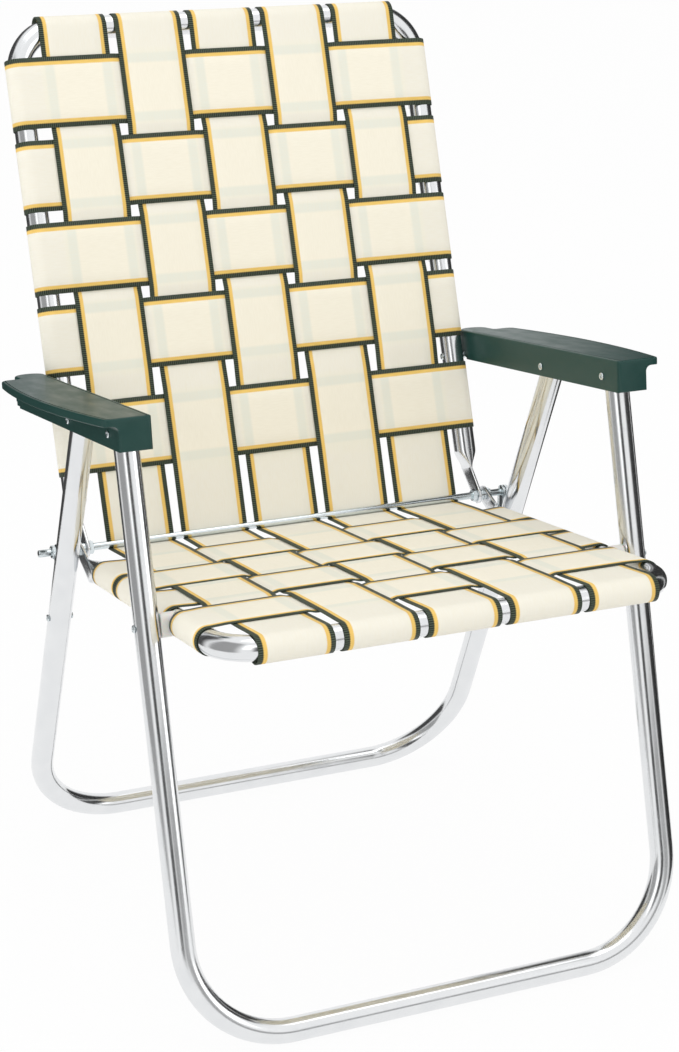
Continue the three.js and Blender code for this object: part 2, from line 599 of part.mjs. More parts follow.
// Outline of the arm rest seen from above, for one side: x sideways, y towards the rear from the front rivet
function armOutline(side) {
  const noseEnd = ARM_FRONT_SPAN + ARM_REAR_SPAN + ARM_NOSE_REACH;
  const frontEdge = armOuter + ARM_FRONT_OVERHANG;
  const rearEdge = armOuter + ARM_REAR_OVERHANG;
  const bulge = 2 * (armOuter + ARM_MIDDLE_OVERHANG) - (frontEdge + rearEdge) / 2;
  const shape = new THREE.Shape();
  shape.moveTo(side * armInner, -ARM_FRONT_REACH);
  shape.lineTo(side * (frontEdge - ARM_FRONT_CORNER), -ARM_FRONT_REACH);
  shape.quadraticCurveTo(
    side * frontEdge, -ARM_FRONT_REACH, side * frontEdge, ARM_FRONT_CORNER - ARM_FRONT_REACH);
  shape.quadraticCurveTo(
    side * bulge, (ARM_WIDE_END - ARM_FRONT_REACH) / 2, side * rearEdge, ARM_WIDE_END - ARM_REAR_CORNER);
  shape.quadraticCurveTo(side * rearEdge, ARM_WIDE_END, side * (rearEdge - ARM_REAR_CORNER), ARM_WIDE_END);
  shape.lineTo(side * armOuter, ARM_WIDE_END);
  shape.lineTo(side * armOuter, noseEnd - ARM_NOSE_RADIUS);
  shape.quadraticCurveTo(side * armOuter, noseEnd, side * (armOuter - ARM_NOSE_RADIUS), noseEnd);
  shape.lineTo(side * (armInner + ARM_NOSE_RADIUS), noseEnd);
  shape.quadraticCurveTo(side * armInner, noseEnd, side * armInner, noseEnd - ARM_NOSE_RADIUS);
  return shape;
}

// The body of the arm rest below its lip: the same nose, without the overhang
function armBodyOutline(side) {
  const noseEnd = ARM_FRONT_SPAN + ARM_REAR_SPAN + ARM_NOSE_REACH;
  const shape = new THREE.Shape();
  shape.moveTo(side * armInner, -ARM_FRONT_REACH);
  shape.lineTo(side * armOuter, -ARM_FRONT_REACH);
  shape.lineTo(side * armOuter, noseEnd - ARM_NOSE_RADIUS);
  shape.quadraticCurveTo(side * armOuter, noseEnd, side * (armOuter - ARM_NOSE_RADIUS), noseEnd);
  shape.lineTo(side * (armInner + ARM_NOSE_RADIUS), noseEnd);
  shape.quadraticCurveTo(side * armInner, noseEnd, side * armInner, noseEnd - ARM_NOSE_RADIUS);
  return shape;
}

function armRest(side) {
  const lipBottom = armTop - ARM_LIP_THICKNESS;
  const lip = new THREE.ExtrudeGeometry(armOutline(side), {
    depth: ARM_LIP_THICKNESS - 2 * ARM_EDGE_CHAMFER, curveSegments: CURVE_STEPS, bevelSegments: 1,
    bevelThickness: ARM_EDGE_CHAMFER, bevelSize: ARM_EDGE_CHAMFER, bevelOffset: -ARM_EDGE_CHAMFER,
  }).translate(0, 0, lipBottom + ARM_EDGE_CHAMFER);
  const body = new THREE.ExtrudeGeometry(armBodyOutline(side), {
    depth: ARM_DROP + lipBottom + ARM_LIP_THICKNESS / 2, curveSegments: CURVE_STEPS, bevelEnabled: false,
  }).translate(0, 0, -ARM_DROP);
  const channelStart = ARM_WALL - ARM_FRONT_REACH;
  const channelEnd = ARM_FRONT_SPAN + ARM_REAR_SPAN + ARM_NOSE_REACH - ARM_WALL - ARM_NOSE_RADIUS / 2;
  const channel = new THREE.BoxGeometry(
    channelOuter - channelInner, channelEnd - channelStart, channelTop + 2 * ARM_DROP,
  ).translate(side * LEG_X, (channelStart + channelEnd) / 2, channelTop / 2 - ARM_DROP);
  const holeStart = side * (armInner - ARM_WALL);
  const holeEnd = side * (armOuter + ARM_WALL);
  const through = (y) => barAlongX(HOLE_RADIUS, holeStart, holeEnd, y, 0);
  const backHole = barAlongX(HOLE_RADIUS, holeStart, side * LEG_X, ARM_FRONT_SPAN + ARM_REAR_SPAN, 0);
  const rise = radians(ARM_BODY_RISE_DEGREES);
  const solid = join(body, lip).rotateX(rise);
  return cut(solid, channel.rotateX(rise), through(0), through(ARM_FRONT_SPAN), backHole);
}

function arms() {
  const group = new THREE.Group();
  group.position.copy(frontLegPivot);
  group.rotation.x = -radians(ARM_PITCH_DEGREES);
  const legRivet = [...innerHead(armInner), ...outerHead(armOuter)];
  const backTubeOuter = BACK_X + TUBE_RADIUS;
  const backRivet = [
    ...innerHead(BACK_X - TUBE_RADIUS),
    [RIVET_RADIUS, backTubeOuter + TOUCH_GAP], [COLLAR_DIAMETER / 2, backTubeOuter + TOUCH_GAP],
    [COLLAR_DIAMETER / 2, armInner - TOUCH_GAP], [RIVET_RADIUS, armInner - TOUCH_GAP],
    ...outerHead(channelInner),
  ];
  for (const [name, side] of SIDES) {
    addMesh(group, `${name}_arm`, armRest(side), greenPlastic);
    addMesh(group, `${name}_front_leg_rivet`, turnedPin(legRivet, side, 0, 0), zinc);
    addMesh(group, `${name}_rear_leg_rivet`, turnedPin(legRivet, side, ARM_FRONT_SPAN, 0), zinc);
    addMesh(group, `${name}_back_rivet`, turnedPin(backRivet, side, ARM_FRONT_SPAN + ARM_REAR_SPAN, 0), zinc);
  }
  return group;
}

const chair = new THREE.Group();
chair.add(rearLegs(), arms(), frontLegs(), back(), seat(), links());

// The origin is on the floor, under the middle of the chair's box
const box = new THREE.Box3().setFromObject(chair, true);
chair.position.y = -(box.min.y + box.max.y) / 2;

export default chair;
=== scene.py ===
import json
import math

import bmesh
import bpy
from mathutils import Matrix, Vector


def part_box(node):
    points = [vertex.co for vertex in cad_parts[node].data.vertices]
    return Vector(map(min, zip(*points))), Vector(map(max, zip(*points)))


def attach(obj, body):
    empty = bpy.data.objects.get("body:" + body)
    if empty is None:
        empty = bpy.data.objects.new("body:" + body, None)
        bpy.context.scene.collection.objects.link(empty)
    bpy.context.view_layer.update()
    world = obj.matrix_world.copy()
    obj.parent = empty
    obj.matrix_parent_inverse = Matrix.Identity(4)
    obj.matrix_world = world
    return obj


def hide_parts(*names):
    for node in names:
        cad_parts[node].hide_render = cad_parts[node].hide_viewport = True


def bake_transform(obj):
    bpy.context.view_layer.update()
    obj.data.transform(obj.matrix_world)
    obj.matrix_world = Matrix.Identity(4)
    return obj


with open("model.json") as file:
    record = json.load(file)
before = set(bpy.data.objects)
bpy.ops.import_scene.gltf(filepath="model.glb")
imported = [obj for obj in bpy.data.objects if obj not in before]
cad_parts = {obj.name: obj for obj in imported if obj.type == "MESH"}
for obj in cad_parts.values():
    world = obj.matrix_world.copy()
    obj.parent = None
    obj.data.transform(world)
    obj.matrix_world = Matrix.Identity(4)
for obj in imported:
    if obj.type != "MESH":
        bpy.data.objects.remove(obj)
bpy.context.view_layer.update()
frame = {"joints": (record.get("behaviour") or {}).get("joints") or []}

# A folding webbed lawn chair. Metres, +Z up, the sitter faces -Y, and the sizes are the frame's own.
MM = 0.001

# Tubes
TUBE_RADIUS = 12.7 * MM
TUBE_WALL = 1.2 * MM
TUBE_SIDES = 40
CAD_TUBE_SIDES = 12
LEG_BEND_RADIUS = 105 * MM
PANEL_BEND_RADIUS = 50 * MM
BEND_STEPS = 20
LEG_TOP_EXTRA = 8 * MM

# Sideways places of the tubes, and of the arms that take the legs between their walls
LEG_X = 270.5 * MM
BACK_X = 238 * MM
SEAT_X = 236.5 * MM
SEAT_TONGUE_X = 246 * MM
CHANNEL_GAP = 0.7 * MM
ARM_WALL = 3.3 * MM
LEG_INNER = LEG_X - TUBE_RADIUS
LEG_OUTER = LEG_X + TUBE_RADIUS
CHANNEL_INNER = LEG_INNER - CHANNEL_GAP
CHANNEL_OUTER = LEG_OUTER + CHANNEL_GAP
ARM_INNER = CHANNEL_INNER - ARM_WALL
ARM_OUTER = CHANNEL_OUTER + ARM_WALL

# Panels: angles, lengths from the rod, and rooms for cross straps as start, end and number of straps
BACK_TILT = math.radians(19.8)
SEAT_PITCH = math.radians(7.7)
BACK_LENGTH = 571 * MM
SEAT_DEPTH = 439 * MM
BACK_LOW_STRAPS = (79.5 * MM, 158 * MM, 1)
BACK_HIGH_STRAPS = (188 * MM, 538 * MM, 4)
SEAT_REAR_STRAPS = (56.5 * MM, 294.5 * MM, 3)
SEAT_FRONT_STRAPS = (308.9 * MM, 389 * MM, 1)

# Webbing
STRAP_WIDTH = 78 * MM
STRAP_THICKNESS = 1.2 * MM
STRAP_GAP = 0.3 * MM
STRAP_EDGE = 0.5 * MM
WEAVE_LIFT = 0.9 * MM
STRAP_TUCK = math.radians(42)
LONG_STRAP_EDGE = 213 * MM
LONG_STRAP_COUNT = 5
WRAP_STEPS = 18
CROSSING_STEPS = 5
GREEN_STRIPE = 5.3 * MM
GOLD_STRIPE = 4 * MM
STRIPE_SOFTNESS = 0.5 * MM
STRIPE_WANDER = 0.12 * MM
YARN_PITCH = 1.5 * MM
PICK_PITCH = 2.2 * MM

# Painted see-through shade where a crossing strap lies below: offsets from its middle, with how strongly
# the shade of its edge shows there
SEE_THROUGH_SHADE_BANDS = ((0, 0), (14 * MM, 0), (26 * MM, 0), (29 * MM, 1), (36.5 * MM, 1), (39 * MM, 0.5))

# Axle, tongues and links
ROD_RADIUS = 4 * MM
ROD_ROUNDING = 0.8 * MM
ROD_RIM_CUT = 0.3 * ROD_ROUNDING
ROD_END_OVERHANG = 9 * MM
TONGUE_HALF = 2 * MM
TONGUE_EYE_RADIUS = 10 * MM
TONGUE_EYE_END = math.radians(-45)
TONGUE_EYE_DEGREES = (178, 165, 145, 125, 105, 90, 70, 50)
TONGUE_LENGTH = 32 * MM
TONGUE_STEPS = 4
TONGUE_SQUARENESS = 0.45
PRESSED_LENGTH = 22 * MM
PRESSED_STEPS = 10
NUT_RADIUS = 7.5 * MM
NUT_HEIGHT = 5 * MM
NUT_CHAMFER = 0.9 * MM
NUT_FACE_RADIUS = 6.4 * MM
NUT_SIDES = 48
SPACER_RADIUS = 6.5 * MM
LINK_HALF = 2 * MM
LINK_EDGE = 0.5 * MM
LINK_RIVET_EYE = 7 * MM
LINK_ROD_EYE = 8 * MM
SLOT_WIDTH = 5.2 * MM
SLOT_REACH = 54.5 * MM
TOUCH_GAP = 0.3 * MM

# Rivets, seat spacers and screws; a head's shape is given in shares of its radius and height
RIVET_RADIUS = 2.5 * MM
RIVET_HEAD_RADIUS = 4 * MM
RIVET_HEAD_HEIGHT = 1.6 * MM
RIVET_HEAD_SHAPE = (
    (0.96, 0), (1, 0.25), (0.94, 0.6), (0.78, 0.88), (0.58, 1), (0.46, 0.9), (0.4, 0.4), (0, 0.3))
COLLAR_RADIUS = 4.5 * MM
ROUND_SIDES = 32
SEAT_SPACER_HEIGHT = 25 * MM
SEAT_SPACER_END = 6.7 * MM
SEAT_SPACER_ROUNDING = 0.8 * MM
SCREW_HEAD_RADIUS = 3.6 * MM
SCREW_HEAD_HEIGHT = 1.9 * MM
SCREW_HEAD_SHAPE = (
    (0, 0), (1, 0), (1, 0.35), (0.86, 0.75), (0.55, 1), (0.2, 1), (0.18, 0.5), (0, 0.5))
SCREW_SIDES = 20
SCREW_SPREAD = 31 * MM
SCREW_TURN = math.radians(30)

# Arm rests: x sideways, y to the rear from the front rivet, z up, the body tilted against its rivets
ARM_BODY_RISE = math.radians(1.5)
ARM_FRONT_SPAN = 136 * MM
ARM_REAR_SPAN = 191.5 * MM
ARM_TOP = 19.5 * MM
ARM_TOP_WALL = 4 * MM
ARM_DROP = 14 * MM
ARM_LIP = 8 * MM
ARM_FRONT = -36 * MM
ARM_NOSE = ARM_FRONT_SPAN + ARM_REAR_SPAN + 19 * MM
ARM_NOSE_RADIUS = 14 * MM
ARM_NOSE_STEPS = 8
ARM_FRONT_EDGE = ARM_OUTER + 15 * MM
ARM_MIDDLE_EDGE = ARM_OUTER + 31 * MM
ARM_REAR_EDGE = ARM_OUTER + 22.5 * MM
ARM_FRONT_CORNER = 6 * MM
ARM_REAR_CORNER = 8 * MM
ARM_WIDE_END = 311 * MM
ARM_NOTCH_FILLET = 4 * MM
ARM_FACE_ROUNDING = 2.2 * MM
ARM_INNER_CORNER = 3.5 * MM
ARM_TOP_ROUNDING = 2 * MM
ARM_LIP_ROUNDING = 1.8 * MM
ARM_LIP_UNDERSIDE = 1.2 * MM
ARM_COVE = 6 * MM
ARM_GROOVE_INSET = 3.2 * MM
ARM_GROOVE_WIDTH = 1.3 * MM
ARM_GROOVE_DEPTH = 0.9 * MM
ARM_GROOVE_SHAPE = ((0, 0), (0.25, 1), (0.75, 1), (1, 0))
ARM_SIDE_STEPS = 24
ARC_STEPS = 5

# Steps under the rear end of an arm rest: where each starts, and how far its walls rise there
ARM_BOTH_WALLS_STEP = (322 * MM, 2.2 * MM)
ARM_OUTER_WALL_STEP = (331.6 * MM, 6.6 * MM)

# Angles above which an edge looks sharp, and the distance below which two points are one
SHARP_ANGLE = math.radians(35)
NUT_SHARP_ANGLE = math.radians(25)
LINK_SHARP_ANGLE = math.radians(50)
STRAP_SHARP_ANGLE = math.radians(70)
WELD_DISTANCE = 1e-7

# Colours as 0 to 255 display values, in pairs where a noise runs between two
ALUMINIUM_COLOURS = ((236, 237, 238), (226, 228, 230))
ZINC_COLOURS = ((228, 235, 237), (210, 218, 221))
ARM_COLOURS = ((22, 60, 55), (30, 68, 62))
SPACER_COLOURS = ((232, 231, 226), (220, 219, 213))
GREEN_COLOURS = ((8, 21, 14), (80, 91, 74))
GOLD_COLOURS = ((248, 210, 120), (228, 186, 92))
# Cream of one layer, then of two; the difference between them is painted light passing through the thin
# strap
CREAM_SEE_THROUGH_LIGHT_COLOURS = ((240, 236, 222), (246, 240, 222))
# Painted shade where the edge stripes of a strap below show through the strap on top
SEE_THROUGH_SHADE_CREAM = (228, 230, 217)
FIBRE_CREAM = (236, 229, 208)
FLOOR_COLOURS = ((236, 236, 236), (240, 240, 240))

# Roughness from one end of a noise's usual range to the other
NOISE_RANGE = (0.3, 0.7)
ALUMINIUM_ROUGHNESS = (0.1, 0.19)
SMUDGE_RANGE = (0.3, 0.8)
SMUDGE_ROUGHNESS = (0, 0.07)
ZINC_ROUGHNESS = (0.16, 0.26)
ARM_ROUGHNESS = (0.3, 0.42)
SPACER_ROUGHNESS = (0.28, 0.4)
WEBBING_ROUGHNESS = (0.5, 0.68)
FLOOR_ROUGHNESS = 0.9

# How strongly the painted see-through shade of a strap below, and single fibres, tint the cream
SEE_THROUGH_SHADE_SHARE = 0.75
FIBRE_RANGE = (0.35, 0.75)
FIBRE_SHARE = (0, 0.35)

# Photograph: frame height and focal length in pixels, and where the camera stood
IMAGE_HEIGHT = 1052
FOCAL_PIXELS = 2299.5
CAMERA_PLACE = Vector((-0.9209, -2.1640, 1.2422))
CAMERA_TARGET = Vector((0.0029, -0.0251, 0.4327))
CAMERA_ROLL = math.radians(0.23)

# Floor and world: the floor's height, size and whiteness to the eye, and the light from all round
FLOOR_Z = -0.6 * MM
FLOOR_SIZE = 60
FLOOR_WHITE = 0.95
WORLD_LIGHT = 0.84

# Upright cards that only mirrors see: name, foot, width and height in metres, and grey level
CARD_FADE = 0.2
CARDS = (
    ("card_right", (0.95, 0.3), 1.5, 2.2, 55),
    ("card_camera", (-1.25, -3.3), 1.9, 2.6, 80),
    ("card_front", (0.9, -3.2), 3.0, 0.75, 165),
    ("card_rear", (-0.6, 0.95), 1.7, 1.9, 70),
    ("card_left", (-1.4, -0.25), 1.7, 2.2, 160),
    ("card_leg", (0.57, -0.32), 0.5, 0.8, 45))

# Square lamps: name, place and width in metres, and watts
LAMPS = (
    ("key", (-2.4, -2.6, 2.0), 2.2, 8),
    ("fill", (2.6, -2.4, 1.0), 1.8, 11),
    ("top", (0.2, -0.4, 5.2), 3.6, 49),
    ("side", (-3.0, -0.6, 1.1), 1.8, 18))

# Directions, and sizes that follow from the ones above
RIGHT = Vector((1, 0, 0))
SIDES = (("left", -1), ("right", 1))
FACET_RADIUS = TUBE_RADIUS * math.cos(math.pi / CAD_TUBE_SIDES)
WRAP_RADIUS = TUBE_RADIUS + STRAP_GAP + STRAP_THICKNESS / 2
ROD_WRAP_RADIUS = ROD_RADIUS + STRAP_GAP + STRAP_THICKNESS / 2
ROD_OFFSET = WRAP_RADIUS + ROD_WRAP_RADIUS
WEB_PLANE = ROD_OFFSET - WRAP_RADIUS
HALF_STRAP = STRAP_WIDTH / 2

pivots = {joint["name"]: Vector(joint["pos_m"]) for joint in frame["joints"]}
axle = pivots["seat_fold"]


# Mesh helpers

def smooth_step(share):
    return share * share * (3 - 2 * share)


def mix(start, end, share):
    return start + (end - start) * share


def turns(count):
    """Angles of a full turn in equal steps."""
    return [2 * math.pi * index / count for index in range(count)]


def place_of(origin, x_axis, z_axis):
    """Matrix of a frame whose X and Z run along the two given directions."""
    axes = Matrix((x_axis, z_axis.cross(x_axis), z_axis)).transposed()
    return Matrix.Translation(origin) @ axes.to_4x4()


def placed(place, rings):
    return [[place @ point for point in ring] for ring in rings]


def make_piece(name, vertices, faces, corner_uvs, material, sharp_angle=SHARP_ANGLE):
    mesh = bpy.data.meshes.new(name)
    mesh.from_pydata([tuple(vertex) for vertex in vertices], [], faces)
    layer = mesh.uv_layers.new(name="UVMap")
    for loop, uv in zip(layer.data, corner_uvs):
        loop.uv = uv
    work = bmesh.new()
    work.from_mesh(mesh)
    bmesh.ops.remove_doubles(work, verts=work.verts, dist=WELD_DISTANCE)
    bmesh.ops.recalc_face_normals(work, faces=work.faces)
    work.to_mesh(mesh)
    work.free()
    mesh.shade_smooth()
    mesh.set_sharp_from_angle(angle=sharp_angle)
    mesh.materials.append(material)
    piece = bpy.data.objects.new(name, mesh)
    bpy.context.scene.collection.objects.link(piece)
    return piece


def distances(points):
    """Running distance along points, from 0."""
    total = [0]
    for before, after in zip(points, points[1:]):
        total.append(total[-1] + (after - before).length)
    return total


def skin(rings, around, along, closed_ends):
    """Vertices, faces and corner UVs over rings, from U values round a ring and a V value per ring."""
    count = len(rings[0])
    vertices = [point for ring in rings for point in ring]
    faces = []
    uvs = []
    for row in range(len(rings) - 1):
        low = along[row]
        high = along[row + 1]
        for index in range(count):
            follower = (index + 1) % count
            faces.append((
                row * count + index, row * count + follower,
                (row + 1) * count + follower, (row + 1) * count + index))
            start = around[index]
            end = around[index + 1]
            uvs += [(start, low), (end, low), (end, high), (start, high)]
    if closed_ends:
        for row in (0, len(rings) - 1):
            faces.append(tuple(range(row * count, (row + 1) * count)))
            uvs += [(start, along[row]) for start in around[:count]]
    return vertices, faces, uvs


def loft(rings, closed_ends=True):
    """Skin over rings; U runs round the widest ring and V from ring to ring, both in metres."""
    count = len(rings[0])
    widest = max(rings, key=lambda ring: (ring[0] - ring[count // 2]).length)
    along = [0]
    for before, after in zip(rings, rings[1:]):
        step = sum((end - start).length for start, end in zip(before, after)) / count
        along.append(along[-1] + step)
    return skin(rings, distances(widest + widest[:1]), along, closed_ends)


def lathe(profile, centre, side):
    """Skin of a turned piece along X: (radius, x) steps for the right side, mirrored for the left."""
    rings = []
    for radius, x in profile:
        rings.append([
            Vector((side * x, centre.y + radius * math.cos(angle), centre.z + radius * math.sin(angle)))
            for angle in turns(ROUND_SIDES)])
    return loft(rings)


def finish_piece(piece, body, slot, *nodes):
    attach(piece, body)
    if nodes:
        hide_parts(*nodes)


def cut_away(piece, tools):
    """Cuts the tool boxes out of a piece and removes them."""
    for tool in tools:
        modifier = piece.modifiers.new("cut", "BOOLEAN")
        modifier.operation = "DIFFERENCE"
        modifier.solver = "EXACT"
        modifier.object = tool
    graph = bpy.context.evaluated_depsgraph_get()
    cut_mesh = bpy.data.meshes.new_from_object(piece.evaluated_get(graph))
    piece.modifiers.clear()
    piece.data = cut_mesh
    for tool in tools:
        bpy.data.objects.remove(tool)


def box_tool(low, high, place):
    corners = [
        place @ Vector((x, y, z))
        for x in (low[0], high[0]) for y in (low[1], high[1]) for z in (low[2], high[2])]
    mesh = bpy.data.meshes.new("tool")
    mesh.from_pydata([tuple(corner) for corner in corners], [], [
        (0, 1, 3, 2), (4, 6, 7, 5), (0, 4, 5, 1), (2, 3, 7, 6), (0, 2, 6, 4), (1, 5, 7, 3)])
    tool = bpy.data.objects.new("tool", mesh)
    bpy.context.scene.collection.objects.link(tool)
    return tool


# Materials

def linear(display):
    """A colour given as 0 to 255 display values, as linear RGBA by the standard display curve."""
    def channel(value):
        share = value / 255
        return share / 12.92 if share <= 0.04045 else ((share + 0.055) / 1.055) ** 2.4
    return (*map(channel, display), 1)


class Nodes:
    """Short forms for building one material's node tree."""

    def __init__(self, name):
        self.material = bpy.data.materials.new(name)
        self.material.use_nodes = True
        self.tree = self.material.node_tree
        self.shader = self.tree.nodes["Principled BSDF"]

    def add(self, kind, **settings):
        node = self.tree.nodes.new(kind)
        for key, value in settings.items():
            setattr(node, key, value)
        return node

    def link(self, source, target):
        self.tree.links.new(source, target)

    def value(self, socket, source):
        if isinstance(source, bpy.types.NodeSocket):
            self.link(source, socket)
        else:
            socket.default_value = source

    def feed(self, name, source):
        self.value(self.shader.inputs[name], source)

    def show(self, output):
        self.link(output, self.tree.nodes["Material Output"].inputs["Surface"])

    def math(self, operation, *sources):
        node = self.add("ShaderNodeMath", operation=operation)
        for socket, source in zip(node.inputs, sources):
            self.value(socket, source)
        return node.outputs[0]

    def blend(self, share, first, second):
        node = self.add("ShaderNodeMix", data_type="RGBA")
        self.value(node.inputs["Factor"], share)
        self.value(node.inputs["A"], first)
        self.value(node.inputs["B"], second)
        return node.outputs["Result"]

    def tint(self, share, colours):
        return self.blend(share, *map(linear, colours))

    def spread(self, source, old, new=(0, 1)):
        node = self.add("ShaderNodeMapRange")
        for socket, entry in zip(node.inputs, (source, *old, *new)):
            self.value(socket, entry)
        return node.outputs["Result"]

    def uv(self):
        parts = self.add("ShaderNodeSeparateXYZ")
        self.link(self.add("ShaderNodeTexCoord").outputs["UV"], parts.inputs[0])
        return parts.outputs["X"], parts.outputs["Y"]

    def wave(self, distance, pitch):
        return self.math("SINE", self.math("MULTIPLY", distance, 2 * math.pi / pitch))

    def noise(self, space, scale, detail, stretch=(1, 1, 1)):
        mapping = self.add("ShaderNodeMapping")
        self.link(self.add("ShaderNodeTexCoord").outputs[space], mapping.inputs["Vector"])
        mapping.inputs["Scale"].default_value = stretch
        node = self.add("ShaderNodeTexNoise")
        self.link(mapping.outputs["Vector"], node.inputs["Vector"])
        node.inputs["Scale"].default_value = scale
        node.inputs["Detail"].default_value = detail
        return node.outputs["Fac"]

    def finish(self, noise, colours, roughness):
        """Lets one noise vary both colour and roughness."""
        self.feed("Base Color", self.tint(noise, colours))
        self.feed("Roughness", self.spread(noise, NOISE_RANGE, roughness))

    def bump(self, height, strength, depth):
        node = self.add("ShaderNodeBump")
        node.inputs["Strength"].default_value = strength
        node.inputs["Distance"].default_value = depth
        self.link(height, node.inputs["Height"])
        self.feed("Normal", node.outputs["Normal"])

    def attribute(self, name):
        return self.add("ShaderNodeAttribute", attribute_name=name).outputs["Fac"]


def aluminium_material():
    """Polished tube: fine lines along the tube from drawing and buffing, with faint smudges."""
    nodes = Nodes("polished_aluminium")
    lines = nodes.noise("UV", scale=1, detail=3, stretch=(2600, 14, 1))
    smudges = nodes.noise("Object", scale=45, detail=4)
    drawn = nodes.spread(lines, NOISE_RANGE, ALUMINIUM_ROUGHNESS)
    smudged = nodes.spread(smudges, SMUDGE_RANGE, SMUDGE_ROUGHNESS)
    nodes.feed("Roughness", nodes.math("ADD", drawn, smudged))
    nodes.feed("Base Color", nodes.tint(smudges, ALUMINIUM_COLOURS))
    nodes.feed("Metallic", 1)
    nodes.bump(lines, strength=0.12, depth=0.06 * MM)
    return nodes.material


def zinc_material():
    """Plated hardware: duller, with a mottled passivated finish."""
    nodes = Nodes("zinc_plate")
    mottle = nodes.noise("Object", scale=110, detail=3)
    nodes.finish(mottle, ZINC_COLOURS, ZINC_ROUGHNESS)
    nodes.feed("Metallic", 1)
    nodes.bump(mottle, strength=0.04, depth=0.02 * MM)
    return nodes.material


def plastic_material():
    """Moulded arm rest: dark green, satin, with a fine grain and faint handling marks."""
    nodes = Nodes("green_plastic")
    grain = nodes.noise("Object", scale=1900, detail=2)
    marks = nodes.noise("Object", scale=70, detail=4, stretch=(1, 0.3, 1))
    nodes.finish(marks, ARM_COLOURS, ARM_ROUGHNESS)
    nodes.feed("Specular IOR Level", 0.33)
    nodes.bump(grain, strength=0.12, depth=0.1 * MM)
    return nodes.material


def spacer_material():
    """Milky moulded spacer that lets a little light through, with faint flow marks."""
    nodes = Nodes("white_plastic")
    flow = nodes.noise("Object", scale=90, detail=3, stretch=(1, 1, 0.4))
    nodes.finish(flow, SPACER_COLOURS, SPACER_ROUGHNESS)
    nodes.feed("Subsurface Weight", 0.35)
    nodes.feed("Subsurface Scale", 3 * MM)
    return nodes.material


def webbing_material():
    """Woven strap: cream with green and gold edge stripes, ribbed by its yarns, with painted light and
    shade where straps lie on each other.
    """
    nodes = Nodes("striped_webbing")
    across, length = nodes.uv()
    yarns = nodes.wave(across, YARN_PITCH)
    picks = nodes.wave(length, PICK_PITCH)
    wander = nodes.spread(picks, (-1, 1), (-STRIPE_WANDER, STRIPE_WANDER))
    edge = nodes.math("SUBTRACT", HALF_STRAP, nodes.math("ABSOLUTE", across))
    edge = nodes.math("ADD", edge, wander)
    gold_end = GREEN_STRIPE + GOLD_STRIPE
    inside_green = nodes.spread(edge, (GREEN_STRIPE - STRIPE_SOFTNESS, GREEN_STRIPE + STRIPE_SOFTNESS))
    inside_gold = nodes.spread(edge, (gold_end - STRIPE_SOFTNESS, gold_end + STRIPE_SOFTNESS))
    fibre = nodes.noise("UV", scale=1, detail=3, stretch=(700, 90, 1))
    # Painted light and shade: the cream of one layer differs from two, and a strap below darkens the one
    # on top
    shade_seen_through = nodes.math("MULTIPLY", nodes.attribute("show_through"), SEE_THROUGH_SHADE_SHARE)
    cream = nodes.tint(nodes.attribute("two_layer_light"), CREAM_SEE_THROUGH_LIGHT_COLOURS)
    cream = nodes.blend(shade_seen_through, cream, linear(SEE_THROUGH_SHADE_CREAM))
    cream = nodes.blend(nodes.spread(fibre, FIBRE_RANGE, FIBRE_SHARE), cream, linear(FIBRE_CREAM))
    gold = nodes.tint(fibre, GOLD_COLOURS)
    green = nodes.tint(nodes.spread(picks, (-1, 1)), GREEN_COLOURS)
    nodes.feed("Base Color", nodes.blend(inside_green, green, nodes.blend(inside_gold, gold, cream)))
    nodes.feed("Roughness", nodes.spread(fibre, NOISE_RANGE, WEBBING_ROUGHNESS))
    nodes.feed("Sheen Weight", 0.06)
    nodes.feed("Specular IOR Level", 0.25)
    nodes.bump(nodes.math("MULTIPLY", yarns, picks), strength=0.28, depth=0.22 * MM)
    return nodes.material


aluminium = aluminium_material()
zinc = zinc_material()
green_plastic = plastic_material()
white_plastic = spacer_material()
webbing = webbing_material()


# Tubes

def tube_ring(centre, tangent, radius):
    """Ring of a tube whose path lies in a plane of constant y."""
    facing = Vector((0, 1, 0))
    aside = tangent.cross(facing)
    return [
        centre + (facing * math.cos(angle) + aside * math.sin(angle)) * radius
        for angle in turns(TUBE_SIDES)]


def bent_u(half_width, y, end_z, bar_z, bend_radius):
    """Stations (centre, tangent) of a U from its left end over the bar to its right end."""
    way = math.copysign(1, bar_z - end_z)
    stations = [(Vector((-half_width, y, end_z)), Vector((0, 0, way)))]
    for side in (-1, 1):
        for step in range(BEND_STEPS + 1):
            share = step / BEND_STEPS if side < 0 else 1 - step / BEND_STEPS
            turn = share * math.pi / 2
            x = side * (half_width - bend_radius + bend_radius * math.cos(turn))
            z = bar_z - way * bend_radius * (1 - math.sin(turn))
            tangent = Vector((math.sin(turn), 0, -side * way * math.cos(turn)))
            stations.append((Vector((x, y, z)), tangent))
    stations.append((Vector((half_width, y, end_z)), Vector((0, 0, -way))))
    return stations


def leg_piece(name, place, bar_distance):
    """A hollow bent leg frame: outer skin, then back along the bore."""
    stations = bent_u(LEG_X, 0, LEG_TOP_EXTRA, -bar_distance, LEG_BEND_RADIUS)
    outer = [tube_ring(centre, tangent, TUBE_RADIUS) for centre, tangent in stations]
    bore = [tube_ring(centre, tangent, TUBE_RADIUS - TUBE_WALL) for centre, tangent in stations]
    rings = placed(place, outer + bore[::-1] + outer[:1])
    return make_piece(name, *loft(rings, closed_ends=False), aluminium)


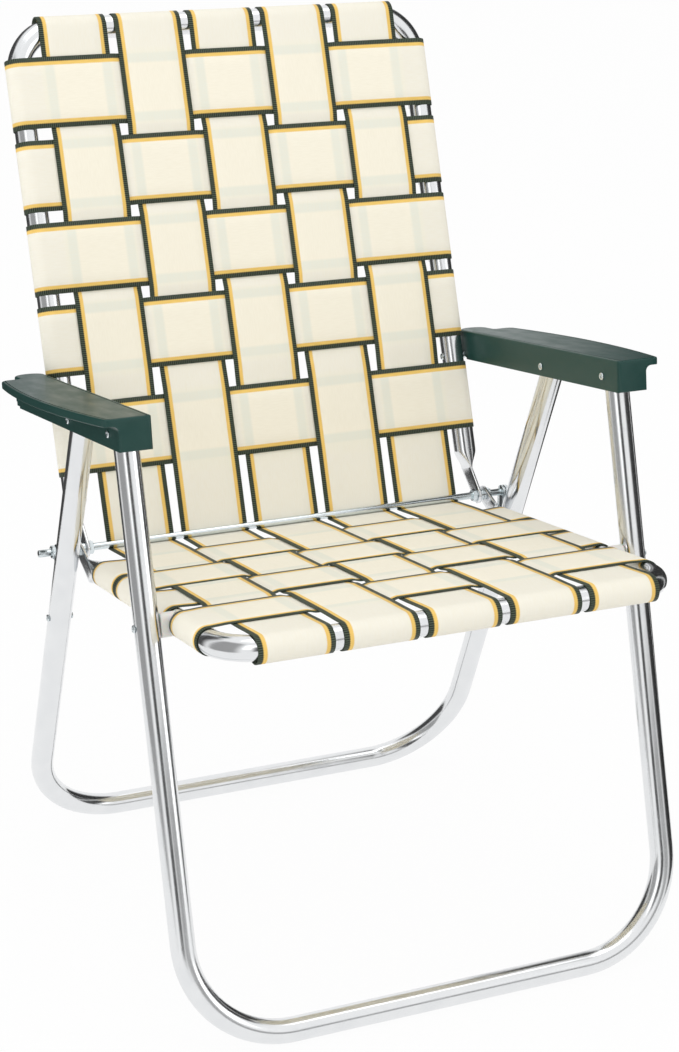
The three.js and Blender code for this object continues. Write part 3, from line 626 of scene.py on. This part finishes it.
def tongue_edges(z):
    """Front and rear edge of a tongue's plate at a distance along the panel."""
    front_turn = math.atan2(ROD_OFFSET - TUBE_RADIUS + TONGUE_EYE_RADIUS, TONGUE_LENGTH)
    front_start = Vector((-math.cos(front_turn), math.sin(front_turn))) * TONGUE_EYE_RADIUS
    rear_start = Vector((math.cos(TONGUE_EYE_END), math.sin(TONGUE_EYE_END))) * TONGUE_EYE_RADIUS
    round_edge = math.sqrt(max(TONGUE_EYE_RADIUS ** 2 - z * z, 0))
    front_share = (z - front_start.y) / (TONGUE_LENGTH - front_start.y)
    rear_share = (z - rear_start.y) / (TONGUE_LENGTH - rear_start.y)
    front = -round_edge if front_share < 0 else mix(front_start.x, ROD_OFFSET - TUBE_RADIUS, front_share)
    rear = round_edge if rear_share < 0 else mix(rear_start.x, ROD_OFFSET + TUBE_RADIUS, rear_share)
    return front, rear


def tongue_rings(side, tube_x, tongue_x):
    """Rings from a tongue's tip, through the length where the tube is pressed, to the round tube."""
    plate = [math.cos(math.radians(degrees)) * TONGUE_EYE_RADIUS for degrees in TONGUE_EYE_DEGREES]
    plate += [mix(plate[-1], TONGUE_LENGTH, step / TONGUE_STEPS) for step in range(1, TONGUE_STEPS + 1)]
    sections = []
    for z in plate:
        front, rear = tongue_edges(z)
        sections.append((
            z, tongue_x, (front + rear) / 2, TONGUE_HALF, (rear - front) / 2, TONGUE_SQUARENESS))
    for step in range(1, PRESSED_STEPS + 1):
        share = smooth_step(step / PRESSED_STEPS)
        z = TONGUE_LENGTH + PRESSED_LENGTH * step / PRESSED_STEPS
        sections.append((
            z, mix(tongue_x, tube_x, share), ROD_OFFSET,
            mix(TONGUE_HALF, TUBE_RADIUS, share), TUBE_RADIUS, mix(TONGUE_SQUARENESS, 1, share)))
    rings = []
    for z, x, y, half_x, half_y, squareness in sections:
        ring = []
        for angle in turns(TUBE_SIDES):
            facing = math.copysign(abs(math.cos(angle)) ** squareness, math.cos(angle))
            aside = math.copysign(abs(math.sin(angle)) ** squareness, math.sin(angle))
            ring.append(Vector((side * (x + half_x * aside), y + half_y * facing, z)))
        rings.append(ring)
    return rings


def panel_tube(name, place, half_width, length, tongue_x):
    """The frame of seat or back: a bent tube between two tongues."""
    stations = bent_u(half_width, ROD_OFFSET, TONGUE_LENGTH + PRESSED_LENGTH, length, PANEL_BEND_RADIUS)
    middle = [tube_ring(centre, tangent, TUBE_RADIUS) for centre, tangent in stations[1:-1]]
    left = tongue_rings(-1, half_width, tongue_x)
    right = tongue_rings(1, half_width, tongue_x)
    rings = placed(place, left + middle + right[::-1])
    return make_piece(name, *loft(rings), aluminium)


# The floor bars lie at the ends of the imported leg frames, whose many-sided tubes rest on a flat
front_low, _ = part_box("front_leg_frame")
rear_low, rear_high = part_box("rear_leg_frame")
front_bar = Vector((0, front_low.y + FACET_RADIUS, front_low.z + FACET_RADIUS))
rear_bar = Vector((0, rear_high.y - FACET_RADIUS, rear_low.z + FACET_RADIUS))

front_leg_up = pivots["front_leg_fold"] - front_bar
rear_leg_up = pivots["arm_fold"] - rear_bar
front_leg_place = place_of(pivots["front_leg_fold"], RIGHT, front_leg_up.normalized())
rear_leg_place = place_of(pivots["arm_fold"], RIGHT, rear_leg_up.normalized())
back_up = Vector((0, math.sin(BACK_TILT), math.cos(BACK_TILT)))
seat_forward = Vector((0, -math.cos(SEAT_PITCH), math.sin(SEAT_PITCH)))
back_place = place_of(axle, RIGHT, back_up)
seat_place = place_of(axle, -RIGHT, seat_forward)

front_leg_tube = leg_piece("front_leg_tube", front_leg_place, front_leg_up.length)
finish_piece(front_leg_tube, "front_legs", "aluminium", "front_leg_frame")

rear_leg_tube = leg_piece("rear_leg_tube", rear_leg_place, rear_leg_up.length)
link_rivet_drop = (pivots["arm_fold"] - pivots["link_fold"]).length
cut_away(rear_leg_tube, [
    box_tool(
        (side * LEG_X - SLOT_WIDTH / 2, 0, -link_rivet_drop - SLOT_REACH),
        (side * LEG_X + SLOT_WIDTH / 2, 2 * TUBE_RADIUS, -link_rivet_drop + SLOT_REACH),
        rear_leg_place)
    for _, side in SIDES])
finish_piece(rear_leg_tube, "rear_legs", "aluminium", "rear_leg_frame")

back_tube = panel_tube("back_tube", back_place, BACK_X, BACK_LENGTH, BACK_X)
finish_piece(back_tube, "back", "aluminium", "back_frame")
seat_tube = panel_tube("seat_tube", seat_place, SEAT_X, SEAT_DEPTH, SEAT_TONGUE_X)
finish_piece(seat_tube, "seat", "aluminium", "seat_frame")


# Rivets, axle, nuts, links and seat spacers

def outer_head(x):
    """A rivet head that starts at x, domed, with the dimple of a half-hollow rivet."""
    start = x + TOUCH_GAP
    return [(RIVET_RADIUS, start)] + [
        (radius * RIVET_HEAD_RADIUS, start + height * RIVET_HEAD_HEIGHT)
        for radius, height in RIVET_HEAD_SHAPE]


def inner_head(x):
    """The same head on the inner side, ending at x."""
    return [(radius, 2 * x - place) for radius, place in reversed(outer_head(x))]


def turned(name, profile, centre, side, body):
    piece = make_piece(name + "_turned", *lathe(profile, centre, side), zinc)
    finish_piece(piece, body, "zinc_hardware", name)


def hex_radius(angle):
    """Distance from a hexagon's middle to its edge at an angle."""
    flat = NUT_RADIUS * math.cos(math.pi / 6)
    return flat / math.cos((angle % (math.pi / 3)) - math.pi / 6)


def nut(name, inner_x, side, body):
    """A nut with chamfered corners and a countersunk bore; a step without a radius is hexagonal."""
    steps = (
        (0, ROD_RADIUS), (0, NUT_FACE_RADIUS), (NUT_CHAMFER, None), (NUT_HEIGHT - NUT_CHAMFER, None),
        (NUT_HEIGHT, NUT_FACE_RADIUS), (NUT_HEIGHT, ROD_RADIUS + NUT_CHAMFER),
        (NUT_HEIGHT - NUT_CHAMFER, ROD_RADIUS), (0, ROD_RADIUS))
    rings = []
    for offset, round_radius in steps:
        ring = []
        for angle in turns(NUT_SIDES):
            radius = round_radius or hex_radius(angle)
            y = axle.y + radius * math.cos(angle)
            z = axle.z + radius * math.sin(angle)
            ring.append(Vector((side * (inner_x + offset), y, z)))
        rings.append(ring)
    piece = make_piece(name + "_hex", *loft(rings, closed_ends=False), zinc, NUT_SHARP_ANGLE)
    finish_piece(piece, body, "zinc_hardware", name)


def link_ring(x, inset, length):
    """Outline of a link at x: two eyes of different size joined by straight sides."""
    taper = math.asin((LINK_ROD_EYE - LINK_RIVET_EYE) / length)
    rivet_eye = (0, LINK_RIVET_EYE - inset, math.pi - taper, math.pi + 2 * taper)
    rod_eye = (length, LINK_ROD_EYE - inset, taper, math.pi - 2 * taper)
    steps = ROUND_SIDES // 2
    points = []
    for centre_z, radius, start, sweep in (rivet_eye, rod_eye):
        for step in range(steps + 1):
            angle = start + sweep * step / steps
            points.append(Vector((x, radius * math.cos(angle), centre_z + radius * math.sin(angle))))
    return points


def link_plate(hand, side):
    rings = [
        link_ring(side * LEG_X + offset, inset, link_up.length) for offset, inset in (
            (-LINK_HALF, LINK_EDGE), (LINK_EDGE - LINK_HALF, 0),
            (LINK_HALF - LINK_EDGE, 0), (LINK_HALF, LINK_EDGE))]
    piece = make_piece(hand + "_link_plate", *loft(placed(link_place, rings)), zinc, LINK_SHARP_ANGLE)
    finish_piece(piece, "links", "zinc_hardware", hand + "_link")


def spacer_ring(side, reach, inset, face_x):
    """Outline of a seat spacer, tall with round ends; without a face it follows the seat tube."""
    ring = []
    for step in range(ROUND_SIDES):
        angle = (2 * step + 1) * math.pi / ROUND_SIDES
        end = math.copysign(SEAT_SPACER_HEIGHT / 2 - SEAT_SPACER_END, math.cos(angle))
        y = end + (SEAT_SPACER_END - inset) * math.cos(angle)
        z = (SEAT_SPACER_END - inset) * math.sin(angle)
        x = face_x or SEAT_X + math.sqrt((TUBE_RADIUS + TOUCH_GAP) ** 2 - y * y)
        ring.append(Vector((side * x, ROD_OFFSET + y, reach + z)))
    return ring


def seat_spacer(hand, side, reach):
    face_x = LEG_INNER - TOUCH_GAP
    rings = [
        spacer_ring(side, reach, SEAT_SPACER_ROUNDING, face_x),
        spacer_ring(side, reach, 0, face_x - SEAT_SPACER_ROUNDING),
        spacer_ring(side, reach, 0, None)]
    piece = make_piece(hand + "_seat_spacer_moulded", *loft(placed(seat_place, rings)), white_plastic)
    finish_piece(piece, "seat", "white_plastic", hand + "_seat_spacer")


def rounded_bar(start, end):
    """Profile of a length of the rod with both rims rounded."""
    rim = [
        (0, 0), (ROD_RADIUS - ROD_ROUNDING, 0),
        (ROD_RADIUS - ROD_RIM_CUT, ROD_RIM_CUT), (ROD_RADIUS, ROD_ROUNDING)]
    return [(radius, start + x) for radius, x in rim] + [(radius, end - x) for radius, x in rim[::-1]]


leg_rivet = inner_head(ARM_INNER) + outer_head(ARM_OUTER)
back_tube_outer = BACK_X + TUBE_RADIUS + TOUCH_GAP
collar = [
    (RIVET_RADIUS, back_tube_outer), (COLLAR_RADIUS, back_tube_outer),
    (COLLAR_RADIUS, ARM_INNER - TOUCH_GAP), (RIVET_RADIUS, ARM_INNER - TOUCH_GAP)]
back_rivet = inner_head(BACK_X - TUBE_RADIUS) + collar + outer_head(CHANNEL_INNER)
seat_rivet = [(0, LEG_INNER + TOUCH_GAP), (RIVET_RADIUS, LEG_INNER + TOUCH_GAP)] + outer_head(LEG_OUTER)
seat_pin_end = LEG_INNER - TOUCH_GAP
seat_pin = inner_head(SEAT_X - TUBE_RADIUS) + [(RIVET_RADIUS, seat_pin_end), (0, seat_pin_end)]
link_rivet = inner_head(LEG_INNER) + outer_head(LEG_OUTER)
spacer_start = BACK_X + TONGUE_HALF + TOUCH_GAP
spacer_end = SEAT_TONGUE_X - TONGUE_HALF - TOUCH_GAP
spacer = [
    (ROD_RADIUS, spacer_start), (SPACER_RADIUS, spacer_start), (SPACER_RADIUS, spacer_end),
    (ROD_RADIUS, spacer_end)]
rod_end = rounded_bar(LEG_X - LINK_HALF, LEG_OUTER + ROD_END_OVERHANG)
rod_half = LEG_X - LINK_HALF - TOUCH_GAP
link_up = axle - pivots["link_fold"]
link_place = place_of(pivots["link_fold"], RIGHT, link_up.normalized())

for hand, side in SIDES:
    seat_pivot = sum(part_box(hand + "_seat_rivet"), Vector()) / 2
    turned(hand + "_front_leg_rivet", leg_rivet, pivots["front_leg_fold"], side, "arms")
    turned(hand + "_rear_leg_rivet", leg_rivet, pivots["arm_fold"], side, "arms")
    turned(hand + "_back_rivet", back_rivet, pivots["back_fold"], side, "arms")
    turned(hand + "_seat_rivet", seat_rivet, seat_pivot, side, "front_legs")
    turned(hand + "_seat_pin", seat_pin, seat_pivot, side, "seat")
    seat_spacer(hand, -side, (seat_place.inverted() @ seat_pivot).z)
    turned(hand + "_link_rivet", link_rivet, pivots["link_fold"], side, "rear_legs")
    turned(hand + "_axle_spacer", spacer, axle, side, "back")
    turned(hand + "_axle_end", rod_end, axle, side, "links")
    nut(hand + "_axle_nut", BACK_X - TONGUE_HALF - TOUCH_GAP - NUT_HEIGHT, side, "back")
    nut(hand + "_axle_outer_nut", SEAT_TONGUE_X + TONGUE_HALF + TOUCH_GAP, side, "back")
    nut(hand + "_axle_end_nut", LEG_X + LINK_HALF + TOUCH_GAP, side, "links")
    link_plate(hand, side)
turned("axle_rod", rounded_bar(-rod_half, rod_half), axle, 1, "back")


# Webbing

def strap_middles(room):
    """Middles of as many straps as a room is given, spread evenly over it."""
    start, end, count = room
    if count == 1:
        return [(start + end) / 2]
    pitch = (end - start - STRAP_WIDTH) / (count - 1)
    return [start + HALF_STRAP + index * pitch for index in range(count)]


long_strap_x = strap_middles((-LONG_STRAP_EDGE, LONG_STRAP_EDGE, LONG_STRAP_COUNT))
back_cross = (strap_middles(BACK_LOW_STRAPS) + strap_middles(BACK_HIGH_STRAPS))[::-1]
seat_cross = (strap_middles(SEAT_REAR_STRAPS) + strap_middles(SEAT_FRONT_STRAPS))[::-1]


def cross_passes_over(cross_index, long_index):
    return (cross_index + long_index) % 2 == 0


def arc(centre, radius, start, end):
    """Points on an arc in a plane, as (first, second, two_layer_light, show_through), with both marks of
    painted light and shade at 0.
    """
    points = []
    for step in range(WRAP_STEPS + 1):
        angle = mix(start, end, step / WRAP_STEPS)
        points.append((centre[0] + radius * math.cos(angle), centre[1] + radius * math.sin(angle), 0, 0))
    return points


def woven_run(crossings, start, end):
    """Points (distance, height, two_layer_light, show_through) of a strap between two places on the
    web's plane; the last two carry painted light and shade.

    A crossing is (distance of the other strap's middle, height that this strap takes there)."""
    run = [(start, WEB_PLANE, 0, 0)]
    offsets = [(-offset, strength) for offset, strength in SEE_THROUGH_SHADE_BANDS[:0:-1]] + list(SEE_THROUGH_SHADE_BANDS)
    shares = [step / CROSSING_STEPS for step in range(1, CROSSING_STEPS + 1)]

    def wave_to(distance, height):
        old_distance, old_height = run[-1][:2]
        return [
            (mix(old_distance, distance, share), mix(old_height, height, smooth_step(share)), 0, 0)
            for share in shares]

    for middle, lift in crossings:
        run += wave_to(middle - HALF_STRAP, WEB_PLANE + lift)[:-1]
        # Over a crossing: two layers for the painted see-through light, and the painted shade of the
        # other strap's edge stripes
        run += [(middle + offset, WEB_PLANE + lift, 1, strength) for offset, strength in offsets]
    return run + wave_to(end, WEB_PLANE)


def ribbon(name, points, marks, across):
    """A strap along points in one plane, whose width runs along the direction across, and its length."""
    half = STRAP_THICKNESS / 2
    flat_edge = HALF_STRAP - STRAP_EDGE
    top = [(aside, half) for aside in (-flat_edge, -HALF_STRAP / 2, 0, HALF_STRAP / 2, flat_edge)]
    bottom = [(aside, -height) for aside, height in top[::-1]]
    outline = [(-HALF_STRAP, 0)] + top + [(HALF_STRAP, 0)] + bottom
    rings = []
    for index, point in enumerate(points):
        tangent = points[min(index + 1, len(points) - 1)] - points[max(index - 1, 0)]
        facing = tangent.cross(across).normalized()
        rings.append([point + across * aside + facing * height for aside, height in outline])
    around = [aside for aside, _ in outline + outline[:1]]
    along = distances(points)
    piece = make_piece(name, *skin(rings, around, along, closed_ends=True), webbing, STRAP_SHARP_ANGLE)
    # Marks for the webbing's painted see-through light and shade
    for slot, key in enumerate(("two_layer_light", "show_through")):
        layer = piece.data.attributes.new(key, "FLOAT", "POINT")
        layer.data.foreach_set("value", [mark[slot] for mark in marks for _ in outline])
    return piece, along[-1]


def cross_strap(panel, place, half_width, index, middle):
    """A strap across a panel, round both side tubes, over and under the long straps."""
    crossings = [
        (x, -WEAVE_LIFT if cross_passes_over(index, long_index) else WEAVE_LIFT)
        for long_index, x in enumerate(long_strap_x)]
    stations = arc((-half_width, ROD_OFFSET), WRAP_RADIUS, math.pi / 2 - STRAP_TUCK, 1.5 * math.pi)[:-1]
    stations += woven_run(crossings, -half_width, half_width)
    stations += arc((half_width, ROD_OFFSET), WRAP_RADIUS, -math.pi / 2, math.pi / 2 + STRAP_TUCK)[1:]
    points = [place @ Vector((x, y, middle)) for x, y, _, _ in stations]
    across = place.to_3x3() @ Vector((0, 0, 1))
    node = f"{panel}_cross_strap_{index + 1}"
    piece, length = ribbon(node + "_woven", points, [station[2:] for station in stations], across)
    finish_piece(piece, panel, "webbing", node)


def half_long_strap(place, length, cross_places, long_index):
    """Points and marks of a long strap's half, from the rod up the panel and over its far bar."""
    crossings = [
        (z, WEAVE_LIFT if cross_passes_over(index, long_index) else -WEAVE_LIFT)
        for index, z in reversed(list(enumerate(cross_places)))]
    run = woven_run(crossings, 0, length)
    stations = [(height, z, two_layer_light, shade_seen_through) for z, height, two_layer_light, shade_seen_through in run]
    stations += arc((ROD_OFFSET, length), WRAP_RADIUS, math.pi, -STRAP_TUCK)[1:]
    points = [place @ Vector((0, y, z)) for y, z, _, _ in stations]
    return points, [station[2:] for station in stations]


def long_strap(long_index):
    """One strap from under the seat's front bar, round the rod, to behind the back's top bar."""
    x = long_strap_x[long_index]
    seat_index = LONG_STRAP_COUNT - 1 - long_index
    back_points, back_marks = half_long_strap(back_place, BACK_LENGTH, back_cross, long_index)
    seat_points, seat_marks = half_long_strap(seat_place, SEAT_DEPTH, seat_cross, seat_index)
    from_back = back_points[0] - axle
    to_seat = seat_points[0] - axle
    turn = from_back.rotation_difference(to_seat)
    around = []
    for step in range(1, WRAP_STEPS):
        part = turn.copy()
        part.angle = turn.angle * step / WRAP_STEPS
        around.append(axle + part @ from_back)
    points = back_points[::-1] + around + seat_points
    marks = back_marks[::-1] + [(0, 0)] * len(around) + seat_marks
    shifted = [point + RIGHT * x for point in points]
    piece, length = ribbon(f"long_strap_{long_index + 1}_woven", shifted, marks, RIGHT)
    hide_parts(f"back_long_strap_{long_index + 1}", f"seat_long_strap_{seat_index + 1}")
    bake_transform(piece)


for cross_index, cross_middle in enumerate(back_cross):
    cross_strap("back", back_place, BACK_X, cross_index, cross_middle)
for cross_index, cross_middle in enumerate(seat_cross):
    cross_strap("seat", seat_place, SEAT_X, cross_index, cross_middle)
for strap_index in range(LONG_STRAP_COUNT):
    long_strap(strap_index)


# Screws that hold the strap ends, two to an end, on the side of the tube away from the sitter

def screw_rings(seat, direction):
    """Rings of a domed screw head that stands on a point of a strap."""
    place = place_of(seat, direction.orthogonal().normalized(), direction)
    rings = []
    for radius_share, height_share in SCREW_HEAD_SHAPE:
        radius = radius_share * SCREW_HEAD_RADIUS
        height = height_share * SCREW_HEAD_HEIGHT
        rings.append([
            Vector((radius * math.cos(angle), radius * math.sin(angle), height))
            for angle in turns(SCREW_SIDES)])
    return placed(place, rings)


def panel_screws(panel, place, half_width, length, cross_places):
    """All the screws of one panel, as one piece."""
    reach = WRAP_RADIUS + STRAP_THICKNESS / 2 + TOUCH_GAP
    seats = []
    for shift in (-SCREW_SPREAD, SCREW_SPREAD):
        for _, side in SIDES:
            away = Vector((-side * math.sin(SCREW_TURN), math.cos(SCREW_TURN), 0))
            seats += [(Vector((side * half_width, ROD_OFFSET, z + shift)), away) for z in cross_places]
        away = Vector((0, math.cos(SCREW_TURN), -math.sin(SCREW_TURN)))
        seats += [(Vector((x + shift, ROD_OFFSET, length)), away) for x in long_strap_x]
    vertices = []
    faces = []
    uvs = []
    for middle, away in seats:
        seat = place @ (middle + away * reach)
        new_vertices, new_faces, new_uvs = loft(screw_rings(seat, place.to_3x3() @ away))
        faces += [tuple(index + len(vertices) for index in face) for face in new_faces]
        vertices += new_vertices
        uvs += new_uvs
    piece = make_piece(panel + "_strap_screws", vertices, faces, uvs, zinc)
    finish_piece(piece, panel, "zinc_hardware")


panel_screws("back", back_place, BACK_X, BACK_LENGTH, back_cross)
panel_screws("seat", seat_place, SEAT_X, SEAT_DEPTH, seat_cross)


# Arm rests

def quarter(steps=ARC_STEPS):
    """Angles of a quarter turn."""
    return [math.pi / 2 * step / steps for step in range(steps + 1)]


def round_inset(distance, radius):
    """How far a rounded edge lies inside its corner, at a distance from the face."""
    share = min(distance / radius, 1)
    return radius * (1 - math.sqrt(1 - (1 - share) ** 2))


def arm_section(y, inner, wall, edge, bottom, inset):
    """Closed outline of an arm rest across its length, from the inner bottom corner over the lip."""
    top = ARM_TOP - inset
    lip_bottom = ARM_TOP - ARM_LIP + inset
    overhang = edge - wall
    share = min(overhang / (ARM_COVE + ARM_LIP_UNDERSIDE), 1)
    underside = ARM_LIP_UNDERSIDE * share
    cove = ARM_COVE * share
    points = [(inner, bottom)]
    for angle in quarter():
        points.append((
            inner + ARM_TOP_ROUNDING * (1 - math.cos(angle)),
            top - ARM_TOP_ROUNDING * (1 - math.sin(angle))))
    for base in (inner + ARM_GROOVE_INSET, edge - ARM_GROOVE_INSET - ARM_GROOVE_WIDTH):
        for across, depth in ARM_GROOVE_SHAPE:
            points.append((base + across * ARM_GROOVE_WIDTH, top - depth * share * ARM_GROOVE_DEPTH))
    for angle in quarter():
        points.append((
            edge - ARM_LIP_ROUNDING * (1 - math.sin(angle)),
            top - ARM_LIP_ROUNDING * (1 - math.cos(angle))))
    for angle in quarter():
        points.append((
            edge - underside * (1 - math.cos(angle)), lip_bottom + underside * (1 - math.sin(angle))))
    for angle in quarter():
        points.append((wall + cove * (1 - math.sin(angle)), lip_bottom - cove * (1 - math.cos(angle))))
    points.append((wall, bottom))
    return [Vector((x, y, z)) for x, z in points]


def lip_edges():
    """(y, x) of the lip's outer edge from the front of the arm to its notch."""
    edges = []
    for angle in quarter():
        edges.append((
            ARM_FRONT + ARM_FRONT_CORNER * (1 - math.cos(angle)),
            ARM_FRONT_EDGE - ARM_FRONT_CORNER * (1 - math.sin(angle))))
    bulge = 2 * ARM_MIDDLE_EDGE - (ARM_FRONT_EDGE + ARM_REAR_EDGE) / 2
    start = Vector((ARM_FRONT + ARM_FRONT_CORNER, ARM_FRONT_EDGE))
    control = Vector(((ARM_WIDE_END + ARM_FRONT) / 2, bulge))
    end = Vector((ARM_WIDE_END - ARM_REAR_CORNER, ARM_REAR_EDGE))
    for step in range(1, ARM_SIDE_STEPS + 1):
        share = step / ARM_SIDE_STEPS
        point = start.lerp(control, share).lerp(control.lerp(end, share), share)
        edges.append((point.x, point.y))
    for angle in quarter()[1:]:
        edges.append((
            ARM_WIDE_END - ARM_REAR_CORNER * (1 - math.sin(angle)),
            ARM_REAR_EDGE - ARM_REAR_CORNER * (1 - math.cos(angle))))
    for angle in quarter():
        edges.append((
            ARM_WIDE_END + ARM_NOTCH_FILLET * (1 - math.cos(angle)),
            ARM_OUTER + ARM_NOTCH_FILLET * (1 - math.sin(angle))))
    return edges


def arm_rest(hand, side):
    """A moulded arm rest, its channel open below for the leg tops."""
    rings = []
    for y, edge in lip_edges():
        inset = round_inset(y - ARM_FRONT, ARM_FACE_ROUNDING)
        inner = ARM_INNER + round_inset(y - ARM_FRONT, ARM_INNER_CORNER)
        rings.append(arm_section(y, inner, ARM_OUTER - inset, edge - inset, inset - ARM_DROP, inset))
    for angle in quarter(ARM_NOSE_STEPS):
        y = ARM_NOSE - ARM_NOSE_RADIUS * (1 - math.sin(angle))
        inset = ARM_NOSE_RADIUS * (1 - math.cos(angle))
        outer = ARM_OUTER - inset
        rings.append(arm_section(y, ARM_INNER + inset, outer, outer, -ARM_DROP, 0))
    rings = [[Vector((side * point.x, point.y, point.z)) for point in ring] for ring in rings]
    to_rear = (pivots["arm_fold"] - pivots["front_leg_fold"]).normalized()
    rivet_line = place_of(pivots["front_leg_fold"], RIGHT, RIGHT.cross(to_rear))
    place = rivet_line @ Matrix.Rotation(ARM_BODY_RISE, 4, "X")
    piece = make_piece(hand + "_arm_rest", *loft(placed(place, rings)), green_plastic)
    channel_end = ARM_NOSE - ARM_WALL - ARM_NOSE_RADIUS / 2
    cuts = [(CHANNEL_INNER, CHANNEL_OUTER, ARM_FRONT + ARM_WALL, channel_end, ARM_TOP - ARM_TOP_WALL)]
    steps = ((ARM_INNER, *ARM_BOTH_WALLS_STEP), (CHANNEL_OUTER, *ARM_OUTER_WALL_STEP))
    for inner_x, start, rise in steps:
        cuts.append((
            inner_x - ARM_WALL, ARM_OUTER + ARM_WALL, start, ARM_NOSE + ARM_WALL, rise - ARM_DROP))
    tools = []
    for inner_x, outer_x, start, end, top in cuts:
        low_x, high_x = sorted((side * inner_x, side * outer_x))
        tools.append(box_tool((low_x, start, -2 * ARM_DROP), (high_x, end, top), place))
    cut_away(piece, tools)
    piece.data.set_sharp_from_angle(angle=SHARP_ANGLE)
    finish_piece(piece, "arms", "green_plastic", hand + "_arm")


for hand, side in SIDES:
    arm_rest(hand, side)


# Stage: pale floor, dark cards that only mirror in the metal, soft lamps and the photograph's camera

def plane(name, place, width, height, material):
    corner_uvs = ((0, 0), (1, 0), (1, 1), (0, 1))
    size = Vector((width, height, 0))
    corners = [place @ (Vector((2 * u - 1, 2 * v - 1, 0)) * size / 2) for u, v in corner_uvs]
    surface = make_piece(name, corners, [(0, 1, 2, 3)], corner_uvs, material)
    return surface


def looking(place, target):
    """Matrix of something at a place whose -Z looks at a target."""
    return Matrix.Translation(place) @ (target - place).to_track_quat("-Z", "Y").to_matrix().to_4x4()


def seen_directly(tree):
    """A node socket that is 1 for rays from the camera, mirrors and clear surfaces."""
    path = tree.nodes.new("ShaderNodeLightPath")
    total = path.outputs["Is Camera Ray"]
    for name in ("Is Glossy Ray", "Is Transmission Ray"):
        largest = tree.nodes.new("ShaderNodeMath")
        largest.operation = "MAXIMUM"
        tree.links.new(total, largest.inputs[0])
        tree.links.new(path.outputs[name], largest.inputs[1])
        total = largest.outputs[0]
    return total


def floor_material():
    """A matt floor that takes shadows and otherwise looks white."""
    nodes = Nodes("pale_floor")
    grain = nodes.noise("Object", scale=60, detail=2)
    nodes.feed("Base Color", nodes.tint(grain, FLOOR_COLOURS))
    nodes.feed("Roughness", FLOOR_ROUGHNESS)
    nodes.feed("Specular IOR Level", 0)
    glow = nodes.add("ShaderNodeEmission")
    mixer = nodes.add("ShaderNodeMixShader")
    nodes.link(nodes.math("MULTIPLY", seen_directly(nodes.tree), FLOOR_WHITE), mixer.inputs[0])
    nodes.link(nodes.shader.outputs[0], mixer.inputs[1])
    nodes.link(glow.outputs[0], mixer.inputs[2])
    nodes.show(mixer.outputs[0])
    return nodes.material


def card_material(name, shade):
    """A grey card whose sides and top fade into the white around it."""
    nodes = Nodes(name)
    across, up = nodes.uv()
    from_side = nodes.math("MINIMUM", across, nodes.math("SUBTRACT", 1, across))
    side_fade = nodes.spread(from_side, (0, CARD_FADE))
    top_fade = nodes.spread(up, (1, 1 - CARD_FADE))
    glow = nodes.add("ShaderNodeEmission")
    cover = nodes.math("MULTIPLY", side_fade, top_fade)
    nodes.link(nodes.blend(cover, (1, 1, 1, 1), linear((shade, shade, shade))), glow.inputs["Color"])
    nodes.show(glow.outputs[0])
    return nodes.material


def white_world():
    """White to the eye and in mirrors, and dimmer as a light."""
    world = bpy.data.worlds.new("studio")
    world.use_nodes = True
    bpy.context.scene.world = world
    tree = world.node_tree
    background = tree.nodes["Background"]
    background.inputs["Color"].default_value = (1, 1, 1, 1)
    strength = tree.nodes.new("ShaderNodeMapRange")
    tree.links.new(seen_directly(tree), strength.inputs["Value"])
    strength.inputs["To Min"].default_value = WORLD_LIGHT
    strength.inputs["To Max"].default_value = 1
    tree.links.new(strength.outputs["Result"], background.inputs["Strength"])


def lamp(name, place, width, watts):
    light = bpy.data.lights.new(name, "AREA")
    light.size = width
    light.energy = watts
    holder = bpy.data.objects.new(name, light)
    holder.matrix_world = looking(Vector(place), CAMERA_TARGET)
    bpy.context.scene.collection.objects.link(holder)


plane("floor", Matrix.Translation((0, 0, FLOOR_Z)), FLOOR_SIZE, FLOOR_SIZE, floor_material())
for card_name, card_foot, card_width, card_height, card_shade in CARDS:
    card_look = card_material(card_name, card_shade)
    card_middle = Vector((*card_foot, card_height / 2))
    card_place = looking(card_middle, Vector((0, 0, card_height / 2)))
    card = plane(card_name, card_place, card_width, card_height, card_look)
    card.visible_camera = False
    card.visible_diffuse = False
    card.visible_shadow = False
white_world()
for lamp_values in LAMPS:
    lamp(*lamp_values)

camera_data = bpy.data.cameras.new("camera")
camera_data.sensor_fit = "VERTICAL"
camera_data.angle = 2 * math.atan(IMAGE_HEIGHT / 2 / FOCAL_PIXELS)
camera = bpy.data.objects.new("camera", camera_data)
camera.matrix_world = looking(CAMERA_PLACE, CAMERA_TARGET) @ Matrix.Rotation(CAMERA_ROLL, 4, "Z")
bpy.context.scene.collection.objects.link(camera)
bpy.context.scene.camera = camera
bpy.context.scene.view_settings.view_transform = "Standard"
